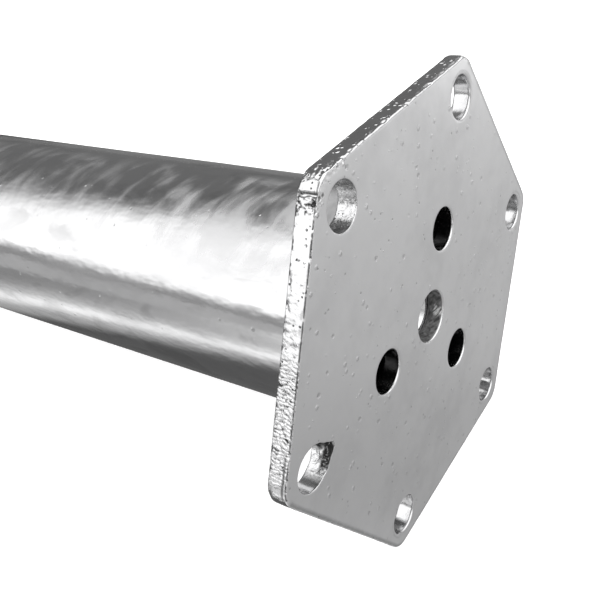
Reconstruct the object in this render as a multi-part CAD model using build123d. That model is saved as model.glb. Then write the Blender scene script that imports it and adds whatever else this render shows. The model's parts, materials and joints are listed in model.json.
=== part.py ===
from build123d import *
import os
from math import atan, cos, degrees, pi, radians, sin, sqrt, tan

# A galvanised steel screw pile, lying as it comes to rest: one flat of its six-sided head
# plate and the lowest point of its thread are on the ground, and the point tips down a little.
# Lengths are in millimetres. The origin is the centre of the bearing face, +X leaves that face
# and +Z is up.
# The pieces are drawn upright first, with the bearing face at z = 0 and the point below it, and
# the flat that rests on the ground facing +X. A depth is a distance below the bearing face.
# They are then all turned onto their side together.

# Head plate, a flame-cut hexagon
plate_across_flats = 135.0
plate_thickness = 6.0
plate_corner_radius = 7.0
plate_edge_radius = 0.8
corner_angle = 30.0

# Holes in the head plate: one at each corner, one towards every other corner, one in the middle
outer_hole_count = 6
outer_hole_diameter = 12.5
outer_circle_diameter = 131.0
inner_hole_count = 3
inner_hole_diameter = 13.0
inner_circle_diameter = 54.0
centre_hole_diameter = 16.2

# Tube, swaged to a closed point
tube_diameter = 76.1
tube_wall = 3.6
total_length = 800.0
taper_depth = 540.0
shoulder_radius = 250.0
nose_radius = 7.0
bore_end_depth = 764.0
bore_end_radius = 2.5

# Thread, one flat strip wound on edge round the tube, with a weld bead along its upper side
thread_pitch = 50.0
thread_height = 16.0
thread_thickness = 3.0
thread_start_depth = 345.0
thread_end_depth = 765.0
thread_weld_leg = 3.5
# at each end the strip is cut at a share of its height above the weld, and rises to the full height
thread_start_rise = 16.0
thread_end_rise = 50.0
thread_cut_share = 0.2
# the paper-thin gap left between the thread and the tube
seam_gap = 0.1
# the strip is drawn in equal lengths, each through a few points of its curve
thread_lengths = 17
points_per_length = 13

# Nut under the middle hole, for a coarse 14 mm thread, whose bolt just passes that hole
nut_across_flats = 21.0
nut_height = 12.8
nut_bore_diameter = 11.84
nut_thread_diameter = 14.0
nut_bevel = 1.5

# Weld beads under the plate, by the length of their two legs
head_weld_leg = 5.5
nut_weld_leg = 3.5
weld_crown = 0.5

# places looked at along the thread to find its lowest point
rest_search_steps = 3000

apothem = plate_across_flats / 2
tube_radius = tube_diameter / 2
# the taper touches the round nose where the nose's own radius is square to it
taper_fall = (tube_radius - nose_radius) / (total_length - nose_radius - taper_depth)
taper_angle = atan(taper_fall)
shoulder_run = shoulder_radius * tan(taper_angle / 2)
nut_corner_radius = nut_across_flats / 2 / cos(radians(30))
# sets a round solid under z = 0, on the pile's axis
hanging = (Align.CENTER, Align.CENTER, Align.MAX)


def tube_outer_solid():
    """The tube as a solid bar, from the plate's back down to the rounded point."""
    tip = Vector(0, -total_length)
    corner = Vector(tube_radius, -taper_depth)
    along_taper = Vector(-sin(taper_angle), -cos(taper_angle))
    shoulder_top = corner + Vector(0, shoulder_run)
    shoulder_end = corner + along_taper * shoulder_run
    touch = tip + Vector(cos(taper_angle), 1 - sin(taper_angle)) * nose_radius
    outline = [
        *Polyline(tip, (0, -plate_thickness), (tube_radius, -plate_thickness), shoulder_top).edges(),
        *RadiusArc(shoulder_top, shoulder_end, shoulder_radius).edges(),
        *Line(shoulder_end, touch).edges(),
        *RadiusArc(touch, tip, nose_radius).edges(),
    ]
    return revolve(Plane.XZ * make_face(outline), Axis.Z)


def tube_bore_solid():
    """The hollow of the tube, whose wall thickens towards the point."""
    bore_radius = tube_radius - tube_wall
    outline = Polyline(
        (0, -plate_thickness), (bore_radius, -plate_thickness), (bore_radius, -taper_depth),
        (bore_end_radius, -bore_end_depth), (0, -bore_end_depth), close=True,
    )
    return revolve(Plane.XZ * make_face(outline), Axis.Z)


def surface_radius(depth):
    """The radius of the tube's outside at a depth on its straight part, shoulder or taper."""
    past_straight = depth - (taper_depth - shoulder_run)
    if past_straight <= 0:
        return tube_radius
    if past_straight < shoulder_radius * sin(taper_angle):
        return tube_radius - shoulder_radius + sqrt(shoulder_radius ** 2 - past_straight ** 2)
    return tube_radius - (depth - taper_depth) * taper_fall


def thread_angle(depth):
    """Where a right-hand thread is round the tube, in radians; it faces +X at the shoulder."""
    return radians(360 * (taper_depth - depth) / thread_pitch)


def even_steps(start, end, steps):
    """Evenly spaced values from start to end, both included."""
    return [start + (end - start) * i / steps for i in range(steps + 1)]


def strip_share(depth):
    """How much of its full height the strip has at a depth; it rises smoothly from both ends."""
    from_start = (depth - thread_start_depth) / thread_start_rise
    from_end = (thread_end_depth - depth) / thread_end_rise
    nearest = min(max(min(from_start, from_end), 0), 1)
    return thread_cut_share + (1 - thread_cut_share) * sin(nearest * pi / 2)


def thread_reach(out, depth):
    """How far from the tube a corner of the section stands; only the strip above its weld shrinks."""
    above_weld = max(out - thread_weld_leg, 0)
    return out - above_weld * (1 - strip_share(depth))


def winding_point(out, up, depth):
    """One corner of the strip's section, out from the tube and up from the strip's middle."""
    radius = surface_radius(depth - up) + thread_reach(out, depth)
    angle = thread_angle(depth)
    return Vector(radius * cos(angle), radius * sin(angle), up - depth)


def winding_edge(out, up, top, bottom):
    """The curve of one corner of the section between two depths, smooth at both its ends."""
    points = [winding_point(out, up, depth) for depth in even_steps(top, bottom, points_per_length - 1)]
    nudge = 0.01
    tangents = [winding_point(out, up, depth + nudge) - winding_point(out, up, depth - nudge)
                for depth in (top, bottom)]
    return Spline(points, tangents=tangents, tangent_scalars=(1, 1)).edge()


def wound(corners):
    """The solid that a section's corners enclose as they wind round the tube."""
    ends = even_steps(thread_start_depth, thread_end_depth, thread_lengths)
    faces = []
    for top, bottom in zip(ends, ends[1:]):
        edges = [winding_edge(out, up, top, bottom) for out, up in corners]
        following = edges[1:] + edges[:1]
        faces += [Face.make_surface_from_curves(a, b) for a, b in zip(edges, following)]
    for depth in (ends[0], ends[-1]):
        outline = Polyline([winding_point(out, up, depth) for out, up in corners], close=True)
        faces.append(make_face(outline).face())
    return Solid(Shell(faces))


def make_head_plate():
    """The hexagonal plate, with its outer rims rounded as zinc leaves them."""
    outline = RegularPolygon(apothem, 6, major_radius=False, rotation=corner_angle)
    outline = fillet(outline.vertices(), plate_corner_radius)
    outline -= PolarLocations(outer_circle_diameter / 2, outer_hole_count, corner_angle) * Circle(
        outer_hole_diameter / 2)
    outline -= PolarLocations(inner_circle_diameter / 2, inner_hole_count, corner_angle) * Circle(
        inner_hole_diameter / 2)
    outline -= Circle(centre_hole_diameter / 2)
    plate = extrude(outline, -plate_thickness)
    rims = [edge for face in plate.faces().filter_by(Axis.Z) for edge in face.outer_wire().edges()]
    return fillet(rims, plate_edge_radius)


def make_pile_tube():
    """The tube: open against the plate, swaged to a closed round point."""
    return tube_outer_solid() - tube_bore_solid()


def make_screw_thread():
    """The flat strip, standing square on the tube, with its weld bead."""
    half = thread_thickness / 2
    crown = thread_weld_leg / 2 + weld_crown
    return wound([
        (seam_gap, -half), (thread_height, -half), (thread_height, half),
        (thread_weld_leg, half), (crown, half + crown), (seam_gap, half + thread_weld_leg),
    ])


def make_head_weld():
    """The bead round the tube, in the corner under the plate."""
    out = (tube_radius + head_weld_leg, -plate_thickness)
    down = (tube_radius, -plate_thickness - head_weld_leg)
    crown = (tube_radius + head_weld_leg / 2 + weld_crown,
             -plate_thickness - head_weld_leg / 2 - weld_crown)
    legs = Polyline(down, (tube_radius, -plate_thickness), out)
    face = make_face([*legs.edges(), *ThreePointArc(out, crown, down).edges()])
    return revolve(Plane.XZ * face, Axis.Z)


def nut_blank():
    """The nut's plain hexagon, hanging from z = 0."""
    return extrude(RegularPolygon(nut_across_flats / 2, 6, major_radius=False), -nut_height)


def make_centre_nut():
    """The hexagon nut behind the middle hole, with bevelled corners and countersunk ends."""
    envelope = Cylinder(nut_corner_radius, nut_height, align=hanging)
    envelope = chamfer(envelope.edges().sort_by(Axis.Z)[0], nut_bevel / 2, nut_bevel)
    bore = Cylinder(nut_bore_diameter / 2, nut_height, align=hanging)
    sink_depth = (nut_thread_diameter - nut_bore_diameter) / 2
    near_sink = Cone(nut_bore_diameter / 2, nut_thread_diameter / 2, sink_depth, align=hanging)
    far_sink = Pos(0, 0, -nut_height) * Rot(180, 0, 0) * near_sink
    return Pos(0, 0, -plate_thickness) * ((nut_blank() & envelope) - bore - near_sink - far_sink)


def make_nut_weld():
    """The bead that holds the nut's six sides to the plate's back."""
    bead = Cone(nut_across_flats / 2, nut_corner_radius + nut_weld_leg, nut_weld_leg + weld_crown,
                align=hanging)
    return Pos(0, 0, -plate_thickness) * (bead - nut_blank())


def drop(tilt, depth, down):
    """How far a point lies below the bearing face's centre, once the pile is laid down."""
    return depth * sin(tilt) + down * cos(tilt)


def plate_drop(tilt):
    """The lowest point of the plate, on the round of its back edge."""
    return plate_edge_radius + drop(tilt, plate_thickness - plate_edge_radius, apothem - plate_edge_radius)


def thread_drop(tilt):
    """The lowest point of the thread's outer edge."""
    return max(
        drop(tilt, depth + thread_thickness / 2,
             (surface_radius(depth) + thread_reach(thread_height, depth)) * cos(thread_angle(depth)))
        for depth in even_steps(thread_start_depth, thread_end_depth, rest_search_steps)
    )


def rest_tilt():
    """The tilt, in radians, at which the plate and the thread are equally low."""
    low, high = 0.0, radians(10)
    while high - low > radians(1e-6):
        middle = (low + high) / 2
        if thread_drop(middle) < plate_drop(middle):
            low = middle
        else:
            high = middle
    return (low + high) / 2


# turns an upright piece onto its side, bearing face to +X and point tipped down
lay_down = Rot(0, 90 - degrees(rest_tilt()), 0)

pieces = {
    "head_plate": make_head_plate(),
    "pile_tube": make_pile_tube(),
    "screw_thread": make_screw_thread(),
    "head_weld": make_head_weld(),
    "centre_nut": make_centre_nut(),
    "nut_weld": make_nut_weld(),
}

os.makedirs("parts", exist_ok=True)
for node, piece in pieces.items():
    export_step(lay_down * piece, f"parts/{node}.step")
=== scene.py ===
"""The looks of a galvanised steel screw pile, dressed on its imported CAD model.

Lengths are in metres. The pieces are modelled upright, with the bearing face at z = 0 and the
point below it, and the flat of the head plate that rests on the ground facing +X. They are then
turned onto their side together, as the CAD model lies.
"""

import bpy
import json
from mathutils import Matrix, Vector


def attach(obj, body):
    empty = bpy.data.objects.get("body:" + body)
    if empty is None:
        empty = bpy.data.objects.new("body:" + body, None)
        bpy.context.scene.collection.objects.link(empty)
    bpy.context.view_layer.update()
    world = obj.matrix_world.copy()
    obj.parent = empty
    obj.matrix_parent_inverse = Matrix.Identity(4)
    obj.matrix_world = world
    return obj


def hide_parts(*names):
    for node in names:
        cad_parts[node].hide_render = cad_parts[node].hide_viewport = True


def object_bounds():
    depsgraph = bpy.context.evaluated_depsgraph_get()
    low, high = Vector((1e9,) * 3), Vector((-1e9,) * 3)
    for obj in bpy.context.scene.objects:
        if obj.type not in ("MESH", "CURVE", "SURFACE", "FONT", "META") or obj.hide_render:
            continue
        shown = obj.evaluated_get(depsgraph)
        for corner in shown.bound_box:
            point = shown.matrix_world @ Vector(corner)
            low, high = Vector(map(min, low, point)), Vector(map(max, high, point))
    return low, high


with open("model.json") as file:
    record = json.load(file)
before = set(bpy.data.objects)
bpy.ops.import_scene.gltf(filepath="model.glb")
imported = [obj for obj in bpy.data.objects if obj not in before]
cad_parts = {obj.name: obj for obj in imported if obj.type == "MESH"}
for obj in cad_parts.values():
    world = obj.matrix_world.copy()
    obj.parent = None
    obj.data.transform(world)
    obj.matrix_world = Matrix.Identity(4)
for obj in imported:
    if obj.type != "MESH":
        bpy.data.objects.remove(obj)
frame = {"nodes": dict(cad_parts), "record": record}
CAD_BOX = [list(corner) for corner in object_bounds()]

import json
import logging
from collections.abc import Callable
from dataclasses import dataclass
from enum import Enum
from functools import partial, reduce
from math import atan, atan2, ceil, cos, degrees, pi, radians, sin, sqrt, tan

import bmesh
import bpy
from mathutils import Matrix, Vector, noise

log = logging.getLogger("screw_pile")
MM = 0.001
UPRIGHT_AXIS = Vector((0, 0, 1))
MERGE_DISTANCE = 0.01 * MM
BMesh, BMEdge, BMVert = bmesh.types.BMesh, bmesh.types.BMEdge, bmesh.types.BMVert
# an output of a node, or an input to feed
Output = bpy.types.NodeSocket
# for bumps laid over one another, the share and the width of each
Layers = tuple[tuple[float, float], ...]
# the layers of a mesh that hold what is painted on its vertices, by name
Paint = dict[str, object]


def lay_down() -> Matrix:
    """The turn from upright to lying, as the record's mount axis gives it.

    Returns:
        A matrix that takes the upright +Z to the axis of the bearing face.
    """
    along = Vector(frame["record"]["mounts"][0]["axis"])
    down = Vector((along.z, 0, -along.x))
    return Matrix((down, along.cross(down), along)).transposed().to_4x4()


LAY_DOWN = lay_down()
TILT = atan2(LAY_DOWN[2][2], LAY_DOWN[0][2])


class Socket(Enum):
    """Where a Mix node of each kind keeps its two values and its result."""

    COLOUR = (6, 7, 2)
    NUMBER = (2, 3, 0)


class Wiring:
    """Adds and joins the nodes of one material or world."""

    def __init__(self, tree: bpy.types.NodeTree) -> None:
        """Starts from an empty tree.

        Args:
            tree: the node tree to fill.
        """
        tree.nodes.clear()
        self.tree = tree

    def node(self, kind: str, **settings: object) -> bpy.types.Node:
        """One node.

        Args:
            kind: the node's type name.
            settings: its options, by attribute name.

        Returns:
            The new node.
        """
        made = self.tree.nodes.new(kind)
        for name, value in settings.items():
            setattr(made, name, value)
        return made

    def feed(self, socket: Output, value: object) -> None:
        """Links a socket to another's output, or sets its plain value.

        Args:
            socket: the input.
            value: an output, or a plain value.
        """
        if isinstance(value, Output):
            self.tree.links.new(value, socket)
        else:
            socket.default_value = value

    def math(self, operation: str, *terms: object) -> Output:
        """One step of arithmetic on numbers or outputs.

        Args:
            operation: the step's name.
            terms: what it works on.

        Returns:
            The result.
        """
        made = self.node("ShaderNodeMath", operation=operation)
        for socket, term in zip(made.inputs, terms):
            self.feed(socket, term)
        return made.outputs[0]

    def total(self, *terms: object) -> Output:
        """The sum of several numbers or outputs."""
        return reduce(partial(self.math, "ADD"), terms)

    def times(self, *terms: object) -> Output:
        """The product of several numbers or outputs."""
        return reduce(partial(self.math, "MULTIPLY"), terms)

    def mix(self, share: object, first: object, second: object,
            kind: Socket = Socket.NUMBER) -> Output:
        """A blend of two numbers or two colours.

        Args:
            share: how much there is of the second, from 0 to 1.
            first: what there is at 0.
            second: what there is at 1.
            kind: whether they are numbers or colours.

        Returns:
            The blend.
        """
        data = "RGBA" if kind is Socket.COLOUR else "FLOAT"
        made = self.node("ShaderNodeMix", data_type=data)
        first_place, second_place, result_place = kind.value
        self.feed(made.inputs[0], share)
        self.feed(made.inputs[first_place], first)
        self.feed(made.inputs[second_place], second)
        return made.outputs[result_place]

    def rise(self, value: object, start: float, end: float) -> Output:
        """A smooth climb from 0 to 1 as the value goes from start to end.

        Args:
            value: the number or output.
            start: where the climb begins.
            end: where it is over.

        Returns:
            How much of it there has been.
        """
        made = self.node("ShaderNodeMapRange", interpolation_type="SMOOTHSTEP")
        self.feed(made.inputs["Value"], value)
        self.feed(made.inputs["From Min"], start)
        self.feed(made.inputs["From Max"], end)
        return made.outputs[0]

    def drawn_out(self, place: object, length: float) -> Output:
        """Coordinates that make a pattern that many times as long up the upright axis.

        Args:
            place: the coordinates.
            length: how far they are drawn out.

        Returns:
            The new coordinates.
        """
        scaled = self.node("ShaderNodeVectorMath", operation="MULTIPLY")
        self.feed(scaled.inputs[0], place)
        self.feed(scaled.inputs[1], (1, 1, 1 / length))
        return scaled.outputs[0]

    def upright_place(self) -> Output:
        """Object coordinates turned back to the upright pose.

        Returns:
            The coordinates.
        """
        made = self.node("ShaderNodeMapping", vector_type="POINT")
        self.feed(made.inputs["Vector"], self.node("ShaderNodeTexCoord").outputs["Object"])
        self.feed(made.inputs["Rotation"], (0, TILT - pi / 2, 0))
        return made.outputs[0]

    def parts(self, place: object) -> list[Output]:
        """The three numbers of some coordinates.

        Args:
            place: the coordinates.

        Returns:
            x, y and z.
        """
        made = self.node("ShaderNodeSeparateXYZ")
        self.feed(made.inputs[0], place)
        return list(made.outputs)

    def joined(self, x: object, y: object, z: object) -> Output:
        """Coordinates from three numbers.

        Args:
            x: the first.
            y: the second.
            z: the third.

        Returns:
            The coordinates.
        """
        made = self.node("ShaderNodeCombineXYZ")
        for socket, value in zip(made.inputs, (x, y, z)):
            self.feed(socket, value)
        return made.outputs[0]

    def wound(self, place: object, radius: float, slope: float, length: float) -> Output:
        """Coordinates that draw a pattern out long in lines wound round the upright axis.

        Args:
            place: upright coordinates.
            radius: the radius of the tube that they wind round.
            slope: how far the lines go round for each length that they go up.
            length: how far the pattern is drawn out up the axis.

        Returns:
            The coordinates.
        """
        x, y, z = self.parts(place)
        turn = self.total(self.math("ARCTAN2", y, x), self.times(z, slope / radius))
        round_x, round_y = (self.times(self.math(way, turn), radius) for way in ("COSINE", "SINE"))
        return self.joined(round_x, round_y, self.times(z, 1 / length))

    def attribute(self, name: str, output: str = "Fac") -> Output:
        """A value painted on the mesh's vertices."""
        return self.node("ShaderNodeAttribute", attribute_name=name).outputs[output]

    def show(self, shader: Output, kind: str = "Material") -> None:
        """Makes a shader the one that the material or world shows."""
        self.feed(self.node(f"ShaderNodeOutput{kind}").inputs["Surface"], shader)


def new_material(name: str) -> tuple[bpy.types.Material, Wiring]:
    """A new material, and the wiring of its empty tree.

    Args:
        name: the material's name.

    Returns:
        The material and its wiring.
    """
    made = bpy.data.materials.new(name)
    made.use_nodes = True
    return made, Wiring(made.node_tree)


def grey(level: float) -> tuple[float, float, float, float]:
    """A plain grey of that level."""
    return (level, level, level, 1.0)


@dataclass(frozen=True)
class Span:
    """A smooth change between two places, in metres or as the part of a direction."""

    start: float
    end: float

    def share(self, wiring: Wiring, value: object) -> Output:
        """How far the value has come from start to end, from 0 to 1."""
        return wiring.rise(value, self.start, self.end)

    def rise(self, value: float) -> float:
        """The same for a plain number."""
        share = min(max((value - self.start) / (self.end - self.start), 0.0), 1.0)
        return share * share * (3 - 2 * share)


@dataclass(frozen=True)
class Blotches:
    """A soft random pattern: the width of its blotches, its finer detail and its warping."""

    width: float
    detail: float = 2.0
    warp: float = 0.0

    def over(self, wiring: Wiring, place: object) -> Output:
        """The pattern over some coordinates, as numbers about 0.5.

        Args:
            wiring: the material's nodes.
            place: the coordinates.

        Returns:
            The pattern.
        """
        made = wiring.node("ShaderNodeTexNoise")
        wiring.feed(made.inputs["Vector"], place)
        wiring.feed(made.inputs["Scale"], 0.5 / self.width)
        wiring.feed(made.inputs["Detail"], self.detail)
        wiring.feed(made.inputs["Distortion"], self.warp)
        return made.outputs[0]


@dataclass
class Surface:
    """The look of a surface as it builds up, layer over layer."""

    wiring: Wiring
    # upright coordinates
    place: Output
    colour: object
    roughness: object
    heights: list[Output]
    metallic: object = 1.0

    def cover(self, share: object, colour: object = None, roughness: object = None,
              metallic: object = None) -> None:
        """Covers a share of the surface, and leaves what isn't given as it was.

        Args:
            share: how much is covered, from 0 to 1.
            colour: the cover's colour.
            roughness: its roughness.
            metallic: how metallic it is.
        """
        if colour is not None:
            self.colour = self.wiring.mix(share, self.colour, colour, Socket.COLOUR)
        if roughness is not None:
            self.roughness = self.wiring.mix(share, self.roughness, roughness)
        if metallic is not None:
            self.metallic = self.wiring.mix(share, self.metallic, metallic)

    def show(self) -> None:
        """Makes the look the material's."""
        wiring = self.wiring
        bump = wiring.node("ShaderNodeBump")
        wiring.feed(bump.inputs["Distance"], 1.0)
        wiring.feed(bump.inputs["Height"], wiring.total(*self.heights))
        metal = wiring.node("ShaderNodeBsdfPrincipled")
        wiring.feed(metal.inputs["Base Color"], self.colour)
        wiring.feed(metal.inputs["Roughness"], self.roughness)
        wiring.feed(metal.inputs["Metallic"], self.metallic)
        wiring.feed(metal.inputs["Normal"], bump.outputs[0])
        wiring.show(metal.outputs[0])


@dataclass(frozen=True)
class Specks:
    """Scattered small bumps and pits of dross, with the share of them that are pits."""

    spacing: float
    radius: float
    height: float
    share: float = 0.4
    pits: float = 0.5
    # the painted attribute that says where they are, or nothing if they are everywhere
    where: str = ""
    # how dark the painted shade in the pits is, and its colour
    shade: float = 0.6
    dark: float = 0.1
    # the smallest one's radius as a share of the middle one's, and the rise of their sides
    smallest: float = 0.5
    side: Span = Span(1.0, 0.25)

    def pattern(self, wiring: Wiring, place: object) -> tuple[Output, Output]:
        """Where the specks are.

        Args:
            wiring: the material's nodes.
            place: upright coordinates.

        Returns:
            How much of a speck there is, from 0 to 1, and whether it is a pit.
        """
        cells = wiring.node("ShaderNodeTexVoronoi", feature="F1")
        wiring.feed(cells.inputs["Vector"], place)
        wiring.feed(cells.inputs["Scale"], 1 / self.spacing)
        red, green, blue = wiring.parts(cells.outputs["Color"])
        reach = wiring.times(wiring.total(blue, self.smallest), self.radius / self.spacing)
        near = self.side.share(wiring, wiring.math("DIVIDE", cells.outputs["Distance"], reach))
        share = wiring.times(wiring.attribute(self.where), self.share) if self.where else self.share
        chosen = wiring.math("LESS_THAN", red, share)
        return wiring.times(near, chosen), wiring.math("LESS_THAN", green, self.pits)

    def scatter(self, look: Surface, outside: object) -> None:
        """Adds the specks' relief and the painted shade in their pits.

        Args:
            look: the surface that they are on.
            outside: where there can be any, from 0 to 1.
        """
        wiring = look.wiring
        speck, pit = self.pattern(wiring, look.place)
        speck = wiring.times(speck, outside)
        look.heights.append(wiring.times(speck, wiring.mix(pit, self.height, -self.height)))
        # painted shade darkens the pits' colour
        look.cover(wiring.times(speck, pit, self.shade), grey(self.dark))


@dataclass(frozen=True)
class Wisps:
    """Slanting smears of dull white zinc on the tube's upper side, and fine strokes all over it."""

    radius: float = 38 * MM
    # how far the smears go round for each length up, and how far they are drawn out up the tube
    slope: float = 2.0
    length: float = 0.6
    smears: Blotches = Blotches(11 * MM, 4.5, 0.7)
    patches: Blotches = Blotches(9 * MM, 3.0, 0.8)
    patch_share: float = 1.1
    # the sum of both patterns where a smear begins, and where it is full
    streaked: Span = Span(0.93, 1.42)
    metal: float = 0.5
    matt: float = 0.38
    colour: tuple[float, float, float] = (0.58, 0.58, 0.585)
    relief: float = 0.03 * MM
    strokes: Blotches = Blotches(1.5 * MM, 3.0)
    stroke_slope: float = 2.0
    stroke_length: float = 0.8
    stroke_depth: float = 0.014 * MM
    # the upright direction that the smeared side faces, and where they begin round the tube
    facing: tuple[float, float] = (-0.94, -0.34)
    reach: Span = Span(0.84, 0.96)
    # near the head there are more of them, and further down they are this much weaker
    near_head: Span = Span(-140 * MM, -50 * MM)
    near_share: float = 0.09
    least: float = 0.42

    def share(self, wiring: Wiring, place: object) -> Output:
        """How dull and white the zinc is, from 0 to 1.

        Args:
            wiring: the material's nodes.
            place: upright coordinates.

        Returns:
            The share.
        """
        x, y, z = wiring.parts(place)
        lines = wiring.wound(place, self.radius, self.slope, self.length)
        near = self.near_head.share(wiring, z)
        both = wiring.total(self.smears.over(wiring, lines),
                            wiring.times(self.patches.over(wiring, place), self.patch_share),
                            wiring.times(near, self.near_share))
        faces = wiring.total(wiring.times(x, self.facing[0] / self.radius),
                             wiring.times(y, self.facing[1] / self.radius))
        return wiring.times(self.streaked.share(wiring, both), wiring.mix(near, self.least, 1.0),
                            self.reach.share(wiring, faces))

    def smear(self, look: Surface) -> None:
        """Covers a surface with the smears, and adds their height and the strokes'.

        Args:
            look: the surface.
        """
        wiring = look.wiring
        share = self.share(wiring, look.place)
        look.cover(share, (*self.colour, 1), self.matt, self.metal)
        lines = wiring.wound(look.place, self.radius, self.stroke_slope, self.stroke_length)
        look.heights.append(wiring.total(
            wiring.times(share, self.relief),
            wiring.times(self.strokes.over(wiring, lines), self.stroke_depth)))


@dataclass(frozen=True)
class FlameCut:
    """What the torch left on the walls of the plate and its holes, and the painted shade there, where
    the mesh is painted so.
    """

    gloss: float = 0.14
    # fine drag lines across the walls: their relief, their slant and how far they are drawn out
    depth: float = 0.28 * MM
    lines: Blotches = Blotches(0.4 * MM, 3.0, 0.9)
    line_slant: float = 0.4
    line_squeeze: float = 0.7
    # zinc that froze dull inside the holes, mottled between two greys
    dull_matt: float = 0.5
    dull_metal: float = 0.3
    dark: float = 0.06
    pale: float = 0.19
    mottle: Blotches = Blotches(0.9 * MM, 3.0)
    mottled: Span = Span(0.4, 0.62)
    # light streaks over the dull zinc
    light: float = 0.85
    streaks: Blotches = Blotches(0.45 * MM, 3.0, 0.4)
    streaked: Span = Span(0.38, 0.60)
    streak_slant: float = 1.2
    streak_squeeze: float = 0.4
    # soot and painted shade, in one dark grey, which are thinner in flecks
    soot: float = 0.03
    soot_matt: float = 0.4
    flecks: Blotches = Blotches(0.55 * MM, 3.0, 1.6)
    flecked: Span = Span(0.55, 0.68)
    fleck_share: float = 0.55

    def add(self, look: Surface) -> None:
        """Adds the drag lines, the dull zinc inside the holes, and the soot and painted shade to a
        surface.

        Args:
            look: the surface.
        """
        wiring = look.wiring
        along, depth, _ = wiring.parts(wiring.attribute("cut_way", "Vector"))
        across = self.slanted(wiring, along, depth, self.line_slant, self.line_squeeze)
        lines = self.lines.over(wiring, across)
        look.heights.append(wiring.times(lines, wiring.attribute("cut_share"), self.depth))
        look.cover(wiring.attribute("wall"), roughness=self.gloss)
        dull_zinc = self.dull_zinc(wiring, along, depth)
        look.cover(wiring.attribute("dull"), dull_zinc, self.dull_matt, self.dull_metal)
        flecks = self.flecked.share(wiring, self.flecks.over(wiring, look.place))
        thinned = wiring.mix(flecks, 1.0, self.fleck_share)
        # soot, painted shade and painted reflection bands, as painted on the plate's vertices
        soot_and_shade = wiring.times(wiring.attribute("soot_and_shade"), thinned)
        look.cover(soot_and_shade, grey(self.soot), self.soot_matt)

    def slanted(self, wiring: Wiring, along: object, depth: object, slant: float,
                squeeze: float) -> Output:
        """Coordinates on a wall for lines that slant across it.

        Args:
            wiring: the material's nodes.
            along: the way along the wall.
            depth: the way across it.
            slant: how far the lines lean along for each length across.
            squeeze: how many times as fast the pattern changes across as it would unturned.

        Returns:
            The coordinates.
        """
        leaning = wiring.total(along, wiring.times(depth, -slant))
        return wiring.joined(leaning, wiring.times(depth, squeeze), 0.0)

    def dull_zinc(self, wiring: Wiring, along: object, depth: object) -> Output:
        """The colour of the zinc that froze grey and streaked inside the holes.

        Args:
            wiring: the material's nodes.
            along: the way along the wall.
            depth: the way across it.

        Returns:
            The colour.
        """
        across = self.slanted(wiring, along, depth, self.streak_slant, self.streak_squeeze)
        streaks = self.streaked.share(wiring, self.streaks.over(wiring, across))
        light = wiring.times(streaks, wiring.attribute("streaked"))
        mottle = self.mottle.over(wiring, wiring.joined(along, depth, 0.0))
        mottled = self.mottled.share(wiring, mottle)
        greys = wiring.mix(mottled, grey(self.dark), grey(self.pale), Socket.COLOUR)
        return wiring.mix(light, greys, grey(self.light), Socket.COLOUR)


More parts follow.
